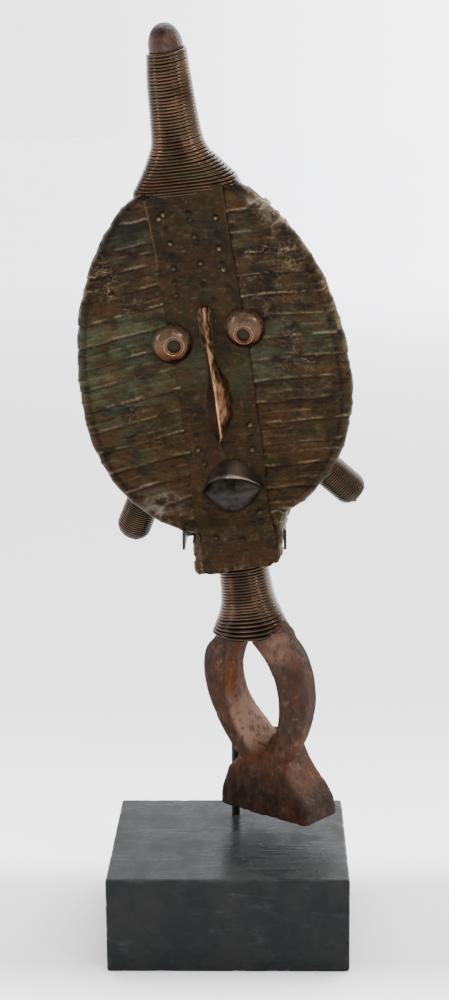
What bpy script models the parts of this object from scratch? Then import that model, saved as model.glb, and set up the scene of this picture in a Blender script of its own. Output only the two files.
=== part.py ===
"""Guardian figure from a reliquary, on its rod stand.

A wooden figure carved as one: flared foot, open lozenge, neck, dished oval head with a chin
block, topknot and two short horns.  The face is clad in hammered copper sheet and strips, the
neck, topknot and horns are bound with wire, and eyes, nose and mouth are raised metal pieces.
It hangs in a flat steel cradle on a rod that stands on a block.

Units are metres, +Z up, the figure faces -Y.  The origin is the middle of the block's underside.

The figure is drawn straight, in (side, depth, height) coordinates: side to its own left (+) and
right (-) as seen from the front, depth from front (-) to back (+), height up from the foot.
place() then carries those coordinates onto the real spine, which turns and leans forward.
"""
import math

import bmesh
import bpy
import numpy as np
from mathutils import Matrix, Vector

# Block, rod and cradle
BASE_WIDTH = 0.170
BASE_DEPTH = 0.158
BASE_HEIGHT = 0.068
BASE_BEVEL = 0.0014
ROD_X = 0.0038
ROD_Y = 0.0495
ROD_RADIUS = 0.003
CRADLE_TOP = 0.3000
CRADLE_LEFT_X = -0.0308
CRADLE_RIGHT_X = 0.0412
CRADLE_FRONT_Y = -0.003
STRAP_HEIGHT = 0.0143
STRAP_THICKNESS = 0.002
STRAP_CORNER = 0.008
STRAP_BEND_STEPS = 5
GAP = 0.0003
MERGE_DISTANCE = 1e-6

# How the figure hangs: over the block, tilted to one side, head bent forward, foot turned
FIGURE_X = 0.0372
FIGURE_Y = 0.0157
FOOT_CLEARANCE = 0.015
SIDE_TILT = math.radians(7.9)
LEAN = math.radians(12.0)
LEAN_FROM = 0.14
LEAN_TO = 0.44
FOOT_TURN = math.radians(39.0)
HEAD_TURN = math.radians(10.0)
TURN_TO = 0.205
SPINE_STEP = 0.0025
SPINE_LOW = -0.040
SPINE_HIGH = 0.640

# Foot: height, side offset, half width, half depth
FOOT_STATIONS = (
    (-0.030, -0.0006, 0.0422, 0.0190),
    (0.006, -0.0010, 0.0426, 0.0192),
    (0.017, -0.0022, 0.0402, 0.0190),
    (0.028, -0.0030, 0.0334, 0.0180),
    (0.036, -0.0026, 0.0266, 0.0174),
    (0.043, -0.0020, 0.0220, 0.0166),
    (0.050, -0.0006, 0.0190, 0.0150),
)
FOOT_SQUARENESS = 6.5

# Open lozenge: outline, then the opening and the branches beside it
BRANCH_LOW = 0.040
BRANCH_HIGH = 0.1372
BRANCH_OUTER = (
    (0.040, 0.0190),
    (0.050, 0.0258),
    (0.060, 0.0314),
    (0.072, 0.0362),
    (0.086, 0.0400),
    (0.098, 0.0412),
    (0.110, 0.0402),
    (0.122, 0.0370),
    (0.132, 0.0315),
    (0.1372, 0.0278),
)
HOLE_MIDDLE = 0.0905
HOLE_HALF_LENGTH = 0.0412
HOLE_HALF_WIDTH = 0.0160
HOLE_SLANT = 0.05
HOLE_FLOOR_SLOPE = 0.60
HOLE_FLOOR_TOP = 0.100
BRANCH_OVERLAP = 0.0030
BRANCH_HALF_DEPTH = (0.0164, 0.0128)
BRANCH_SQUARENESS = 3.0
BRANCH_ROWS = 12

# Neck: height, half width, half depth of the wood
NECK_STATIONS = (
    (0.1335, 0.0290, 0.0124),
    (0.1375, 0.0285, 0.0128),
    (0.144, 0.0252, 0.0136),
    (0.153, 0.0200, 0.0143),
    (0.162, 0.0170, 0.0146),
    (0.172, 0.0158, 0.0145),
    (0.186, 0.0150, 0.0143),
    (0.204, 0.0145, 0.0140),
)

# Head: a dished oval board
HEAD_X = 0.002
HEAD_HALF_WIDTH = 0.0954
WIDEST = {-1: 0.3195, 1: 0.3295}
RISE = {-1: 0.152, 1: 0.146}
DROP = {-1: 0.1050, 1: 0.1090}
DROP_POWER = {-1: 2.25, 1: 2.3}
HEAD_LOW = {-1: 0.2235, 1: 0.2305}
HEAD_HIGH = 0.463
STRIP_COUNT = 16
FRONT_MIDDLE = 0.006
DISH_SIDE = 0.014
DISH_TOP = 0.008
DISH_CHIN = 0.014
BACK_MIDDLE = 0.010
BACK_SIDE = 0.021
BACK_ENDS = 0.014
RIM_RADIUS = 0.0042
RIM_STEPS = 3
BOARD_STEPS = 5
STRIP_STEPS = 4
BACK_BLEND = 0.012
SHEET = 0.0009
SKIN_GAP = 0.0004
LAP_RISE = 0.0007
FOLD_BACK = 0.0060
FOLD_LOOSE = 0.0003
STRIPS_AT_HORN = {-1: (2,), 1: (2,)}
FOLD_SHORT_TO = 0.285
FOLD_GROWS_OVER = 0.030

# Chin block
CHIN_LOW = 0.1892
CHIN_NECK_TOP = 0.212
CHIN_HIGH = 0.246
CHIN_HALF_WIDTH = 0.0290
CHIN_BACK_NARROWING = {-1: 0.0028, 1: 0.0046}
CHIN_FRONT = 0.0185
CHIN_BACK = 0.0160
CHIN_BACK_TOP = 0.0015
CHIN_ROUND = 0.006
CHIN_FLARE = 0.0034
CHIN_FLARE_FROM = 0.2220
CHIN_SLANT = 0.0012
CHIN_SIDE_FRONT = -0.0165
CHIN_SIDE_TOP = {-1: 0.2200, 1: 0.2220}

# Middle sheet
SHEET_LEFT = -0.0255
SHEET_RIGHT = 0.0290
NARROWEST_STRIP = 0.005
SHEET_STEPS = 6

# Topknot: height, side offset, half width, depth offset, half depth of the wood
TOPKNOT_STATIONS = (
    (0.440, 0.0020, 0.0140, 0.0015, 0.0070),
    (0.4632, 0.0015, 0.0166, -0.0028, 0.0080),
    (0.4639, 0.0015, 0.0336, -0.0030, 0.0112),
    (0.471, 0.0012, 0.0285, -0.0022, 0.0118),
    (0.479, 0.0006, 0.0222, -0.0014, 0.0121),
    (0.487, 0.0, 0.0168, -0.0007, 0.0123),
    (0.496, 0.0, 0.0142, 0.0, 0.0124),
    (0.515, 0.0004, 0.0124, 0.0, 0.0120),
    (0.535, 0.0010, 0.0115, 0.0, 0.0114),
    (0.5535, 0.0018, 0.0106, 0.0, 0.0106),
)
KNOB_HEIGHT = 0.0145
KNOB_RADIUS = 0.0110

# Wire
WIRE = 0.0024
TOPKNOT_BIND = (0.4642, 0.5532)
NECK_BIND = (0.1375, 0.1868)
HORN_BIND = (0.0115, 0.0310)
WIRE_PITCH = 0.00252

# Horns: start, end, both as (side, depth, height)
HORN_START = {-1: (-0.0590, -0.0040, 0.2770), 1: (0.0565, -0.0035, 0.2680)}
HORN_END = {-1: (-0.0790, 0.0080, 0.2150), 1: (0.0888, 0.0085, 0.2272)}
HORN_RADIUS = {-1: 0.0092, 1: 0.0098}
HORN_TAPER = 0.0004
HORN_ROUNDING = 0.0014

# Face pieces, in (side, height)
EYE_PLACE = {-1: (-0.0232, 0.3555), 1: (0.0290, 0.3636)}
EYE_RADIUS = 0.0142
EYE_HEIGHT = 0.0100
NOSE_TOP = (0.0040, 0.3865)
NOSE_TIP = (-0.0005, 0.2842)
NOSE_HEIGHT = 0.0125
NOSE_HALF_WIDTH = 0.0082
MOUTH_PLACE = (0.0056, 0.2512)
MOUTH_HALF_WIDTH = 0.0225
MOUTH_RISE = 0.0170
MOUTH_DROP = 0.0205
MOUTH_HEIGHT = 0.0140

FOOT_SIDES = 20
BRANCH_SIDES = 14
ROUND_SIDES = 12
HORN_SIDES = 10
EYE_SIDES = 16
NECK_SQUARENESS = 2.2


def smooth_step(value):
    """Ease from 0 to 1 with flat ends."""
    ratio = np.clip(value, 0.0, 1.0)
    return ratio * ratio * (3.0 - 2.0 * ratio)


def lean_at(height):
    """Forward lean of the spine at a height."""
    return LEAN * smooth_step((height - LEAN_FROM) / (LEAN_TO - LEAN_FROM))


def turn_at(height):
    """Turn of the figure about its spine at a height."""
    return HEAD_TURN + (FOOT_TURN - HEAD_TURN) * (1.0 - smooth_step(height / TURN_TO))


SPINE_HEIGHTS = np.arange(SPINE_LOW, SPINE_HIGH, SPINE_STEP)
SPINE_Y = -np.cumsum(np.sin(lean_at(SPINE_HEIGHTS))) * SPINE_STEP
SPINE_Z = SPINE_LOW + np.cumsum(np.cos(lean_at(SPINE_HEIGHTS))) * SPINE_STEP


def place(side, depth, height):
    """Carry straight coordinates onto the bent and turned spine; returns points as rows."""
    side, depth, height = np.broadcast_arrays(side, depth, height)
    lean = lean_at(height)
    turn = turn_at(height)
    zero = np.zeros_like(lean)
    centre = np.stack([
        zero,
        np.interp(height, SPINE_HEIGHTS, SPINE_Y),
        np.interp(height, SPINE_HEIGHTS, SPINE_Z),
    ], -1)
    along = np.stack([zero, -np.sin(lean), np.cos(lean)], -1)
    across = np.stack([np.cos(turn), -np.sin(turn), zero], -1)
    across = across - along * np.sum(across * along, -1, keepdims=True)
    across = across / np.linalg.norm(across, axis=-1, keepdims=True)
    back = np.cross(along, across)
    return centre + side[..., None] * across + depth[..., None] * back


# ---------------------------------------------------------------- meshes

def make_material(name, colour, metallic, roughness):
    """Principled material from plain values."""
    material = bpy.data.materials.new(name)
    material.use_nodes = True
    shader = material.node_tree.nodes["Principled BSDF"]
    shader.inputs["Base Color"].default_value = (*colour, 1.0)
    shader.inputs["Metallic"].default_value = metallic
    shader.inputs["Roughness"].default_value = roughness
    material.diffuse_color = (*colour, 1.0)
    return material


def make_object(name, points, faces, material, parent=None, sharp_degrees=35.0):
    """Object from points and faces, outward facing, smooth but for its sharp edges."""
    mesh = bpy.data.meshes.new(name)
    mesh.from_pydata([tuple(point) for point in points], [], faces)
    work = bmesh.new()
    work.from_mesh(mesh)
    bmesh.ops.remove_doubles(work, verts=work.verts, dist=MERGE_DISTANCE)
    bmesh.ops.triangulate(work, faces=work.faces)
    bmesh.ops.recalc_face_normals(work, faces=work.faces)
    work.to_mesh(mesh)
    work.free()
    if material:
        mesh.materials.append(material)
    mesh.shade_smooth()
    mesh.set_sharp_from_angle(angle=math.radians(sharp_degrees))
    thing = bpy.data.objects.new(name, mesh)
    bpy.context.collection.objects.link(thing)
    thing.parent = parent
    return thing


def ring_faces(rows, columns, start=0, closed=True):
    """Quads of a grid of points, its rows closed into rings or left open."""
    faces = []
    last = columns if closed else columns - 1
    for row in range(rows - 1):
        for column in range(last):
            following = (column + 1) % columns
            a = start + row * columns + column
            b = start + row * columns + following
            faces.append((a, b, b + columns, a + columns))
    return faces


def solid_tube(rings):
    """Closed solid through rings of points, with a flat end on each side."""
    rings = np.asarray(rings)
    rows, columns = rings.shape[:2]
    faces = ring_faces(rows, columns)
    faces.append(tuple(range(columns)))
    faces.append(tuple(range((rows - 1) * columns, rows * columns)))
    return rings.reshape(-1, 3), faces


def solid_sleeve(outer, inner):
    """Closed ring-shaped solid between outer and inner rings of equal column count."""
    outer = np.asarray(outer)
    inner = np.asarray(inner)
    columns = outer.shape[1]
    shift = outer.shape[0] * columns
    faces = ring_faces(outer.shape[0], columns)
    faces += ring_faces(inner.shape[0], columns, start=shift)
    for outer_row, inner_row in ((0, 0), (outer.shape[0] - 1, inner.shape[0] - 1)):
        for column in range(columns):
            following = (column + 1) % columns
            faces.append((
                outer_row * columns + column,
                outer_row * columns + following,
                shift + inner_row * columns + following,
                shift + inner_row * columns + column,
            ))
    return np.concatenate([outer.reshape(-1, 3), inner.reshape(-1, 3)]), faces


def solid_sheet(front, back):
    """Closed solid between two open grids of equal size."""
    front = np.asarray(front)
    back = np.asarray(back)
    rows, columns = front.shape[:2]
    shift = rows * columns
    faces = ring_faces(rows, columns, closed=False)
    faces += ring_faces(rows, columns, start=shift, closed=False)
    edge = [(0, column) for column in range(columns)]
    edge += [(row, columns - 1) for row in range(1, rows)]
    edge += [(rows - 1, column) for column in range(columns - 2, -1, -1)]
    edge += [(row, 0) for row in range(rows - 2, 0, -1)]
    for index, (row, column) in enumerate(edge):
        next_row, next_column = edge[(index + 1) % len(edge)]
        a = row * columns + column
        b = next_row * columns + next_column
        faces.append((a, b, b + shift, a + shift))
    return np.concatenate([front.reshape(-1, 3), back.reshape(-1, 3)]), faces


def superellipse(half_side, half_depth, power, count, side=0.0, depth=0.0):
    """Side and depth of a rounded-rectangle section, as two arrays."""
    angle = np.linspace(0.0, 2.0 * math.pi, count, endpoint=False) + math.pi / count
    cosine = np.cos(angle)
    sine = np.sin(angle)
    across = side + half_side * np.sign(cosine) * np.abs(cosine) ** (2.0 / power)
    through = depth + half_depth * np.sign(sine) * np.abs(sine) ** (2.0 / power)
    return across, through


def column_of(stations, column, height):
    """Value of one column of a station table at a height."""
    table = np.array(stations)
    return np.interp(height, table[:, 0], table[:, column])


# ---------------------------------------------------------------- wood

def cut_level(thing, level, matrix):
    """Cut an object's mesh flat below a world height and close the cut."""
    inverse = matrix.inverted()
    point = inverse @ Vector((0.0, 0.0, level))
    normal = inverse.to_3x3() @ Vector((0.0, 0.0, -1.0))
    work = bmesh.new()
    work.from_mesh(thing.data)
    geometry = work.verts[:] + work.edges[:] + work.faces[:]
    cut = bmesh.ops.bisect_plane(
        work, geom=geometry, plane_co=point, plane_no=normal, clear_outer=True)
    rim = [item for item in cut["geom_cut"] if isinstance(item, bmesh.types.BMEdge)]
    bmesh.ops.edgenet_fill(work, edges=rim)
    bmesh.ops.recalc_face_normals(work, faces=work.faces)
    work.to_mesh(thing.data)
    work.free()


def foot_block(material, parent, matrix):
    """Flared foot up to the waist, cut level above the block."""
    rings = []
    for height, offset, half_width, half_depth in FOOT_STATIONS:
        side, depth = superellipse(half_width, half_depth, FOOT_SQUARENESS, FOOT_SIDES, offset)
        rings.append(place(side, depth, height))
    foot = make_object("foot_form", *solid_tube(rings), material, parent)
    cut_level(foot, BASE_HEIGHT + FOOT_CLEARANCE, matrix)
    return foot


def hole_half_width(height):
    """Half width of the open lozenge at a height; below zero past its points."""
    reach = np.abs((height - HOLE_MIDDLE) / HOLE_HALF_LENGTH)
    return np.maximum(HOLE_HALF_WIDTH * (1.0 - reach ** 2.1), -BRANCH_OVERLAP)


def branch(hand, material, parent):
    """One curved branch of the lozenge, -1 for the viewer's left and 1 for the right."""
    rings = []
    for height in np.linspace(BRANCH_LOW, BRANCH_HIGH, BRANCH_ROWS):
        outer = column_of(BRANCH_OUTER, 1, height)
        inner = hole_half_width(height)
        slant = HOLE_SLANT * (HOLE_MIDDLE - height)
        middle = hand * (outer + inner) / 2.0 + slant * (inner > 0.0)
        half_depth = np.interp(height, (BRANCH_LOW, BRANCH_HIGH), BRANCH_HALF_DEPTH)
        side, depth = superellipse(
            (outer - inner) / 2.0, half_depth, BRANCH_SQUARENESS, BRANCH_SIDES, middle)
        low = 1.0 - smooth_step((height - BRANCH_LOW) / (HOLE_FLOOR_TOP - BRANCH_LOW))
        rings.append(place(side, depth, height + HOLE_FLOOR_SLOPE * low * depth))
    name = "branch_form_left" if hand < 0 else "branch_form_right"
    return make_object(name, *solid_tube(rings), material, parent)


def neck_column(material, parent):
    """Neck, wide over the lozenge and round under the chin."""
    rings = []
    for height, half_width, half_depth in NECK_STATIONS:
        side, depth = superellipse(half_width, half_depth, NECK_SQUARENESS, ROUND_SIDES)
        rings.append(place(side, depth, height))
    return make_object("neck_form", *solid_tube(rings), material, parent)


def reach_at(height, hand):
    """How far a height lies from the widest line of the head, 0 there and 1 at its ends."""
    above = (height - WIDEST[hand]) / RISE[hand]
    below = (WIDEST[hand] - height) / DROP[hand]
    return np.where(height > WIDEST[hand], above, below)


def half_width_at(height, hand):
    """Half width of the clad head at a height."""
    reach = np.clip(reach_at(height, hand), 0.0, 1.0)
    power = np.where(height > WIDEST[hand], 2.0, DROP_POWER[hand])
    return HEAD_HALF_WIDTH * np.sqrt(np.maximum(1.0 - reach ** power, 0.0))


def front_depth(side, height):
    """Depth of the wooden face: a dish whose rim and chin come forward."""
    hand = 1
    middle = 0.5 * (WIDEST[-1] + WIDEST[1])
    up = (height - middle) / RISE[hand]
    down = (middle - height) / DROP[hand]
    ends = np.where(height > middle, DISH_TOP * up ** 2, DISH_CHIN * np.clip(down, 0.0, 0.95) ** 2)
    return -(FRONT_MIDDLE + DISH_SIDE * ((side - HEAD_X) / HEAD_HALF_WIDTH) ** 2 + ends)


def back_depth(side, height):
    """Depth of the wooden back: rounded, following the dish."""
    middle = 0.5 * (WIDEST[-1] + WIDEST[1])
    up = (height - middle) / RISE[1]
    down = (middle - height) / DROP[1]
    ends = BACK_ENDS * np.where(height > middle, up ** 2, np.clip(down, 0.0, 1.0) ** 2)
    return BACK_MIDDLE - BACK_SIDE * ((side - HEAD_X) / HEAD_HALF_WIDTH) ** 2 - ends


def back_knees(height, hand):
    """Distances in from the rim where the back turns, the last one at the middle line."""
    reach = float(half_width_at(height, hand)) - SHEET - SKIN_GAP - RIM_RADIUS
    return min(BACK_BLEND, 0.5 * reach), reach


def board_profile(height, hand, from_side, front_steps, back_runs, offset):
    """Half section of the head board at a height, from the front round the rim to the back.

    The line runs from from_side to the rim on the front, round the rim as a half circle, and on
    the back inwards by the distances back_runs.  It is moved outwards by offset.  Returns side
    and depth arrays.
    """
    edge = HEAD_X + hand * (half_width_at(height, hand) - SHEET - SKIN_GAP)
    inner_edge = edge - hand * RIM_RADIUS
    side = np.linspace(from_side, inner_edge, front_steps)
    front = front_depth(side, height)
    rim_front = front_depth(inner_edge, height)
    angle = np.linspace(0.0, math.pi, RIM_STEPS + 1)[1:]
    rim_side = inner_edge + hand * RIM_RADIUS * np.sin(angle)
    rim_depth = rim_front + RIM_RADIUS - RIM_RADIUS * np.cos(angle)
    end_depth = rim_front + 2.0 * RIM_RADIUS
    back_side = inner_edge - hand * np.array(back_runs)
    knees = np.array(back_knees(height, hand))
    deep = np.maximum(back_depth(inner_edge - hand * knees, height), end_depth)
    back = np.interp(back_runs, (0.0, *knees), (end_depth, *deep))
    sides = np.concatenate([side, rim_side, back_side])
    depths = np.concatenate([front, rim_depth, back])
    run_side = np.gradient(sides)
    run_depth = np.gradient(depths)
    length = np.hypot(run_side, run_depth)
    normal_side = hand * run_depth / length
    normal_depth = -hand * run_side / length
    return sides + offset * normal_side, depths + offset * normal_depth


def seam_heights():
    """Heights of the seams between the cheek strips, lowest first."""
    regular = np.linspace(HEAD_LOW[1], HEAD_HIGH, STRIP_COUNT)
    return np.concatenate([[HEAD_LOW[-1]], regular])


def head_board(material, parent):
    """Dished oval board behind the face sheets."""
    rings = []
    for height in seam_heights():
        halves = []
        for hand in (1, -1):
            runs = back_knees(height, hand)
            section = board_profile(height, hand, HEAD_X, BOARD_STEPS, runs, 0.0)
            halves.append(np.stack(section, -1))
        ring = np.concatenate([halves[0], halves[1][-2:0:-1]])
        rings.append(place(ring[:, 0], ring[:, 1], height))
    return make_object("wood_core", *solid_tube(rings), material, parent)


def chin_half_width(height):
    """Half width of the chin block's front, rounded off at its lower corners."""
    corner = np.clip((CHIN_LOW + CHIN_ROUND - height) / CHIN_ROUND, 0.0, 1.0)
    return CHIN_HALF_WIDTH - CHIN_ROUND * (1.0 - np.sqrt(1.0 - 0.92 * corner ** 2))


def chin_flare(height, share):
    """How much the chin's right-hand flank spreads towards its lower corner."""
    low = np.clip((CHIN_FLARE_FROM - height) / (CHIN_FLARE_FROM - CHIN_LOW), 0.0, 1.0)
    return CHIN_FLARE * low * (share < 0.0)


def chin_block(material, parent):
    """Block under the face that ends the chin."""
    heights = np.array([0.0, 0.15, 0.45, 1.0]) * CHIN_ROUND + CHIN_LOW
    heights = np.concatenate([heights, np.linspace(CHIN_NECK_TOP, CHIN_HIGH, 4)])
    fronts = []
    backs = []
    for height in heights:
        share = np.linspace(-1.0, 1.0, 5)
        half = chin_half_width(height)
        side = HEAD_X + share * (half + chin_flare(height, share))
        narrowing = np.where(share < 0.0, CHIN_BACK_NARROWING[-1], CHIN_BACK_NARROWING[1])
        back_side = side - share * narrowing
        level = height + CHIN_SLANT * share * (height < CHIN_LOW + 2.0 * CHIN_ROUND)
        fronts.append(place(side, front_depth(side, height) + 0.0002, level))
        back = np.interp(height, (CHIN_NECK_TOP, CHIN_HIGH), (CHIN_BACK, CHIN_BACK_TOP))
        backs.append(place(back_side, back, level))
    return make_object("chin_form", *solid_sheet(fronts, backs), material, parent)


def topknot_section(height, grow):
    """Side and depth of the topknot at a height, grown outwards by a wire's share."""
    centre, half_width, middle, half_depth = (
        column_of(TOPKNOT_STATIONS, index, height) for index in (1, 2, 3, 4))
    power = 2.0 + 1.2 * np.clip((0.490 - height) / 0.025, 0.0, 1.0)
    return superellipse(half_width + grow, half_depth + grow, power, ROUND_SIDES, centre, middle)


def topknot_core(material, parent):
    """Topknot, rising from the head's upper edge to a rounded knob."""
    rings = []
    for station in TOPKNOT_STATIONS:
        side, depth = topknot_section(station[0], 0.0)
        rings.append(place(side, depth, station[0]))
    last = TOPKNOT_STATIONS[-1]
    for angle in np.radians([8.0, 35.0, 60.0, 82.0]):
        radius = KNOB_RADIUS * math.cos(angle)
        side, depth = superellipse(radius, radius, 2.0, ROUND_SIDES, last[1])
        rings.append(place(side, depth, last[0] + 0.002 + KNOB_HEIGHT * math.sin(angle)))
    return make_object("topknot_form", *solid_tube(rings), material, parent)


def horn_rings(hand, stations):
    """Rings about a horn's axis; stations hold distance from its tip and radius."""
    start = place(*HORN_START[hand])
    tip = place(*HORN_END[hand])
    axis = (tip - start) / np.linalg.norm(tip - start)
    first = np.cross(axis, (0.0, 1.0, 0.0))
    first = first / np.linalg.norm(first)
    second = np.cross(axis, first)
    angle = np.linspace(0.0, 2.0 * math.pi, HORN_SIDES, endpoint=False)
    rings = []
    for distance, radius in stations:
        centre = tip - axis * distance
        circle = np.outer(np.cos(angle), first) + np.outer(np.sin(angle), second)
        rings.append(centre + radius * circle)
    return rings


def horn_core(hand, material, parent):
    """One short horn with a rounded end, carved on the back of the head."""
    length = np.linalg.norm(place(*HORN_END[hand]) - place(*HORN_START[hand]))
    radius = HORN_RADIUS[hand]
    stations = [
        (0.0, 0.28 * radius),
        (0.0012, 0.64 * radius),
        (0.0040, radius - HORN_ROUNDING),
        (HORN_BIND[1], radius),
        (length, radius),
    ]
    name = "horn_form_left" if hand < 0 else "horn_form_right"
    rings = horn_rings(hand, stations)
    return make_object(name, *solid_tube(rings), material, parent)


def join_carved(body, others):
    """Unite the carved forms into one body."""
    for other in others:
        union = body.modifiers.new(other.name, "BOOLEAN")
        union.operation = "UNION"
        union.solver = "EXACT"
        union.object = other
        other.hide_render = True
        other.display_type = "WIRE"


# ---------------------------------------------------------------- sheet metal

def sheet_edge(height, hand):
    """Side of the middle sheet's edge at a height; it closes in where the head narrows."""
    edge = SHEET_LEFT if hand < 0 else SHEET_RIGHT
    limit = half_width_at(height, hand) - RIM_RADIUS - NARROWEST_STRIP
    return HEAD_X + hand * min(hand * (edge - HEAD_X), float(limit))


def fold_at(height):
    """How far a strip runs onto the back; short where the horns and the chin spring."""
    return FOLD_BACK * (0.42 + 0.58 * smooth_step((height - FOLD_SHORT_TO) / FOLD_GROWS_OVER))


def horn_clearance(hand, parent):
    """Hidden cutter that keeps the strips clear of a horn."""
    length = np.linalg.norm(place(*HORN_END[hand]) - place(*HORN_START[hand]))
    stations = [(HORN_BIND[1], HORN_RADIUS[hand] + SKIN_GAP), (length, HORN_RADIUS[hand] + SKIN_GAP)]
    name = f"horn_clearance_{'left' if hand < 0 else 'right'}"
    cutter = make_object(name, *solid_tube(horn_rings(hand, stations)), None, parent)
    cutter.hide_render = True
    cutter.display_type = "WIRE"
    return cutter


def cheek_strip(index, hand, material, parent):
    """One hammered strip from the middle sheet out over the rim, lapping the one below."""
    seams = seam_heights()
    outer_rows = []
    inner_rows = []
    edges = ((seams[index] + 0.5 * GAP, LAP_RISE), (seams[index + 1] - 0.5 * GAP, 0.0))
    for height, rise in edges:
        start = sheet_edge(height, hand) + hand * SKIN_GAP
        runs = (0.5 * fold_at(height), fold_at(height))
        loose = np.repeat((0.0, FOLD_LOOSE), (STRIP_STEPS + RIM_STEPS - 1, 3))
        for rows, offset in ((outer_rows, SKIN_GAP + SHEET + rise), (inner_rows, SKIN_GAP)):
            side, depth = board_profile(height, hand, start, STRIP_STEPS, runs, offset + loose)
            rows.append(place(side, depth, height))
    name = f"cheek_strip_{'left' if hand < 0 else 'right'}_{index + 1:02d}"
    return make_object(name, *solid_sheet(outer_rows, inner_rows), material, parent)


def face_sheet(material, parent):
    """Middle sheet from the topknot down over forehead, nose line and chin."""
    low = [CHIN_LOW - GAP, CHIN_LOW + 0.2 * CHIN_ROUND, CHIN_LOW + CHIN_ROUND, CHIN_NECK_TOP]
    heights = np.concatenate([low, seam_heights()])
    heights[-1] = HEAD_HIGH
    outer_rows = []
    inner_rows = []
    for height in heights:
        left, right = SHEET_LEFT, SHEET_RIGHT
        if height > WIDEST[1]:
            left, right = sheet_edge(height, -1), sheet_edge(height, 1)
        trim = CHIN_HALF_WIDTH - chin_half_width(height)
        flare = chin_flare(height, -1.0)
        side = np.linspace(left + trim - flare, right - trim, SHEET_STEPS)
        level = height
        if height < CHIN_LOW + 2.0 * CHIN_ROUND:
            level = height + CHIN_SLANT * np.linspace(-1.0, 1.0, SHEET_STEPS)
        wood = front_depth(side, height)
        inner_rows.append(place(side, wood - SKIN_GAP, level))
        outer_rows.append(place(side, wood - SKIN_GAP - SHEET - LAP_RISE, level))
    return make_object("face_sheet", *solid_sheet(outer_rows, inner_rows), material, parent)


def chin_side_sheet(hand, material, parent):
    """Sheet on one flank of the chin block."""
    outer_rows = []
    inner_rows = []
    for height in (CHIN_LOW + 0.6 * CHIN_ROUND, CHIN_LOW + CHIN_ROUND, CHIN_SIDE_TOP[hand]):
        depth = np.linspace(CHIN_SIDE_FRONT, CHIN_BACK - 0.001, 3)
        taper = CHIN_BACK_NARROWING[hand] * (depth + CHIN_FRONT) / (CHIN_FRONT + CHIN_BACK)
        flank = chin_half_width(height) + chin_flare(height, hand) - taper + SKIN_GAP
        inner_rows.append(place(HEAD_X + hand * flank, depth, height))
        outer_rows.append(place(HEAD_X + hand * (flank + SHEET), depth, height))
    name = f"chin_side_sheet_{'left' if hand < 0 else 'right'}"
    return make_object(name, *solid_sheet(outer_rows, inner_rows), material, parent)


# ---------------------------------------------------------------- wire

def bind_heights(span):
    """Heights of the crests and valleys of a winding, with its ends."""
    turns = round((span[1] - span[0]) / WIRE_PITCH)
    return np.linspace(span[0], span[1], 2 * turns + 1)


def bind_growth(count):
    """How far each crest and valley of a winding stands off the wood."""
    return [WIRE if row % 2 else 0.55 * WIRE for row in range(count)]


def winding(name, span, section, stations, material, parent):
    """Wire bound round a carved core, as one ribbed sleeve."""
    heights = bind_heights(span)
    outer = []
    for height, grow in zip(heights, bind_growth(len(heights))):
        side, depth = section(height, grow)
        outer.append(place(side, depth, height))
    between = [row[0] for row in stations if span[0] < row[0] < span[1]]
    inner = []
    for height in (span[0], *between, span[1]):
        side, depth = section(height, SKIN_GAP)
        inner.append(place(side, depth, height))
    return make_object(name, *solid_sleeve(outer, inner), material, parent)


def neck_section(height, grow):
    """Side and depth of the neck at a height, grown outwards by a wire's share."""
    half_width = column_of(NECK_STATIONS, 1, height) + grow
    half_depth = column_of(NECK_STATIONS, 2, height) + grow
    return superellipse(half_width, half_depth, NECK_SQUARENESS, ROUND_SIDES)


def horn_winding(hand, material, parent):
    """Wire bound round one horn."""
    distances = bind_heights(HORN_BIND)[::-1]
    full = HORN_RADIUS[hand]
    radius = np.interp(distances, HORN_BIND, (full - HORN_TAPER, full))
    outer = [
        (distance, core + grow)
        for distance, core, grow in zip(distances, radius, bind_growth(len(distances)))
    ]
    inner = [(distance, full + SKIN_GAP) for distance in (HORN_BIND[1], HORN_BIND[0])]
    name = f"horn_winding_{'left' if hand < 0 else 'right'}"
    return make_object(
        name, *solid_sleeve(horn_rings(hand, outer), horn_rings(hand, inner)), material, parent)


# ---------------------------------------------------------------- features

def skin_depth(side, height):
    """Depth just clear of the sheets, where raised pieces sit."""
    return front_depth(side, height) - (SKIN_GAP + SHEET + LAP_RISE + GAP)


def eye(hand, material, parent):
    """Bulging eye: a dome with a raised ring round a sunk pupil."""
    middle_side, middle_height = EYE_PLACE[hand]
    radii = np.array([0.05, 0.30, 0.42, 0.54, 0.66, 0.86, 0.97, 1.0]) * EYE_RADIUS
    rises = np.array([0.80, 0.80, 1.04, 1.02, 0.88, 0.60, 0.30, 0.10]) * EYE_HEIGHT
    angle = np.linspace(0.0, 2.0 * math.pi, EYE_SIDES, endpoint=False)
    fronts = []
    backs = []
    for radius, rise in zip(radii, rises):
        side = middle_side + radius * np.cos(angle)
        height = middle_height + radius * np.sin(angle)
        fronts.append(place(side, skin_depth(side, height) - rise, height))
    for radius in (0.05 * EYE_RADIUS, EYE_RADIUS):
        side = middle_side + radius * np.cos(angle)
        height = middle_height + radius * np.sin(angle)
        backs.append(place(side, skin_depth(side, height), height))
    columns = len(angle)
    faces = ring_faces(len(fronts), columns) + ring_faces(len(backs), columns, len(fronts) * columns)
    last = (len(fronts) - 1) * columns
    back_last = (len(fronts) + len(backs) - 1) * columns
    for column in range(columns):
        following = (column + 1) % columns
        faces.append((last + column, last + following, back_last + following, back_last + column))
    faces.append(tuple(range(columns)))
    faces.append(tuple(range(len(fronts) * columns, (len(fronts) + 1) * columns)))
    points = np.concatenate(fronts + backs)
    name = f"eye_{'left' if hand < 0 else 'right'}"
    return make_object(name, points, faces, material, parent)


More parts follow.
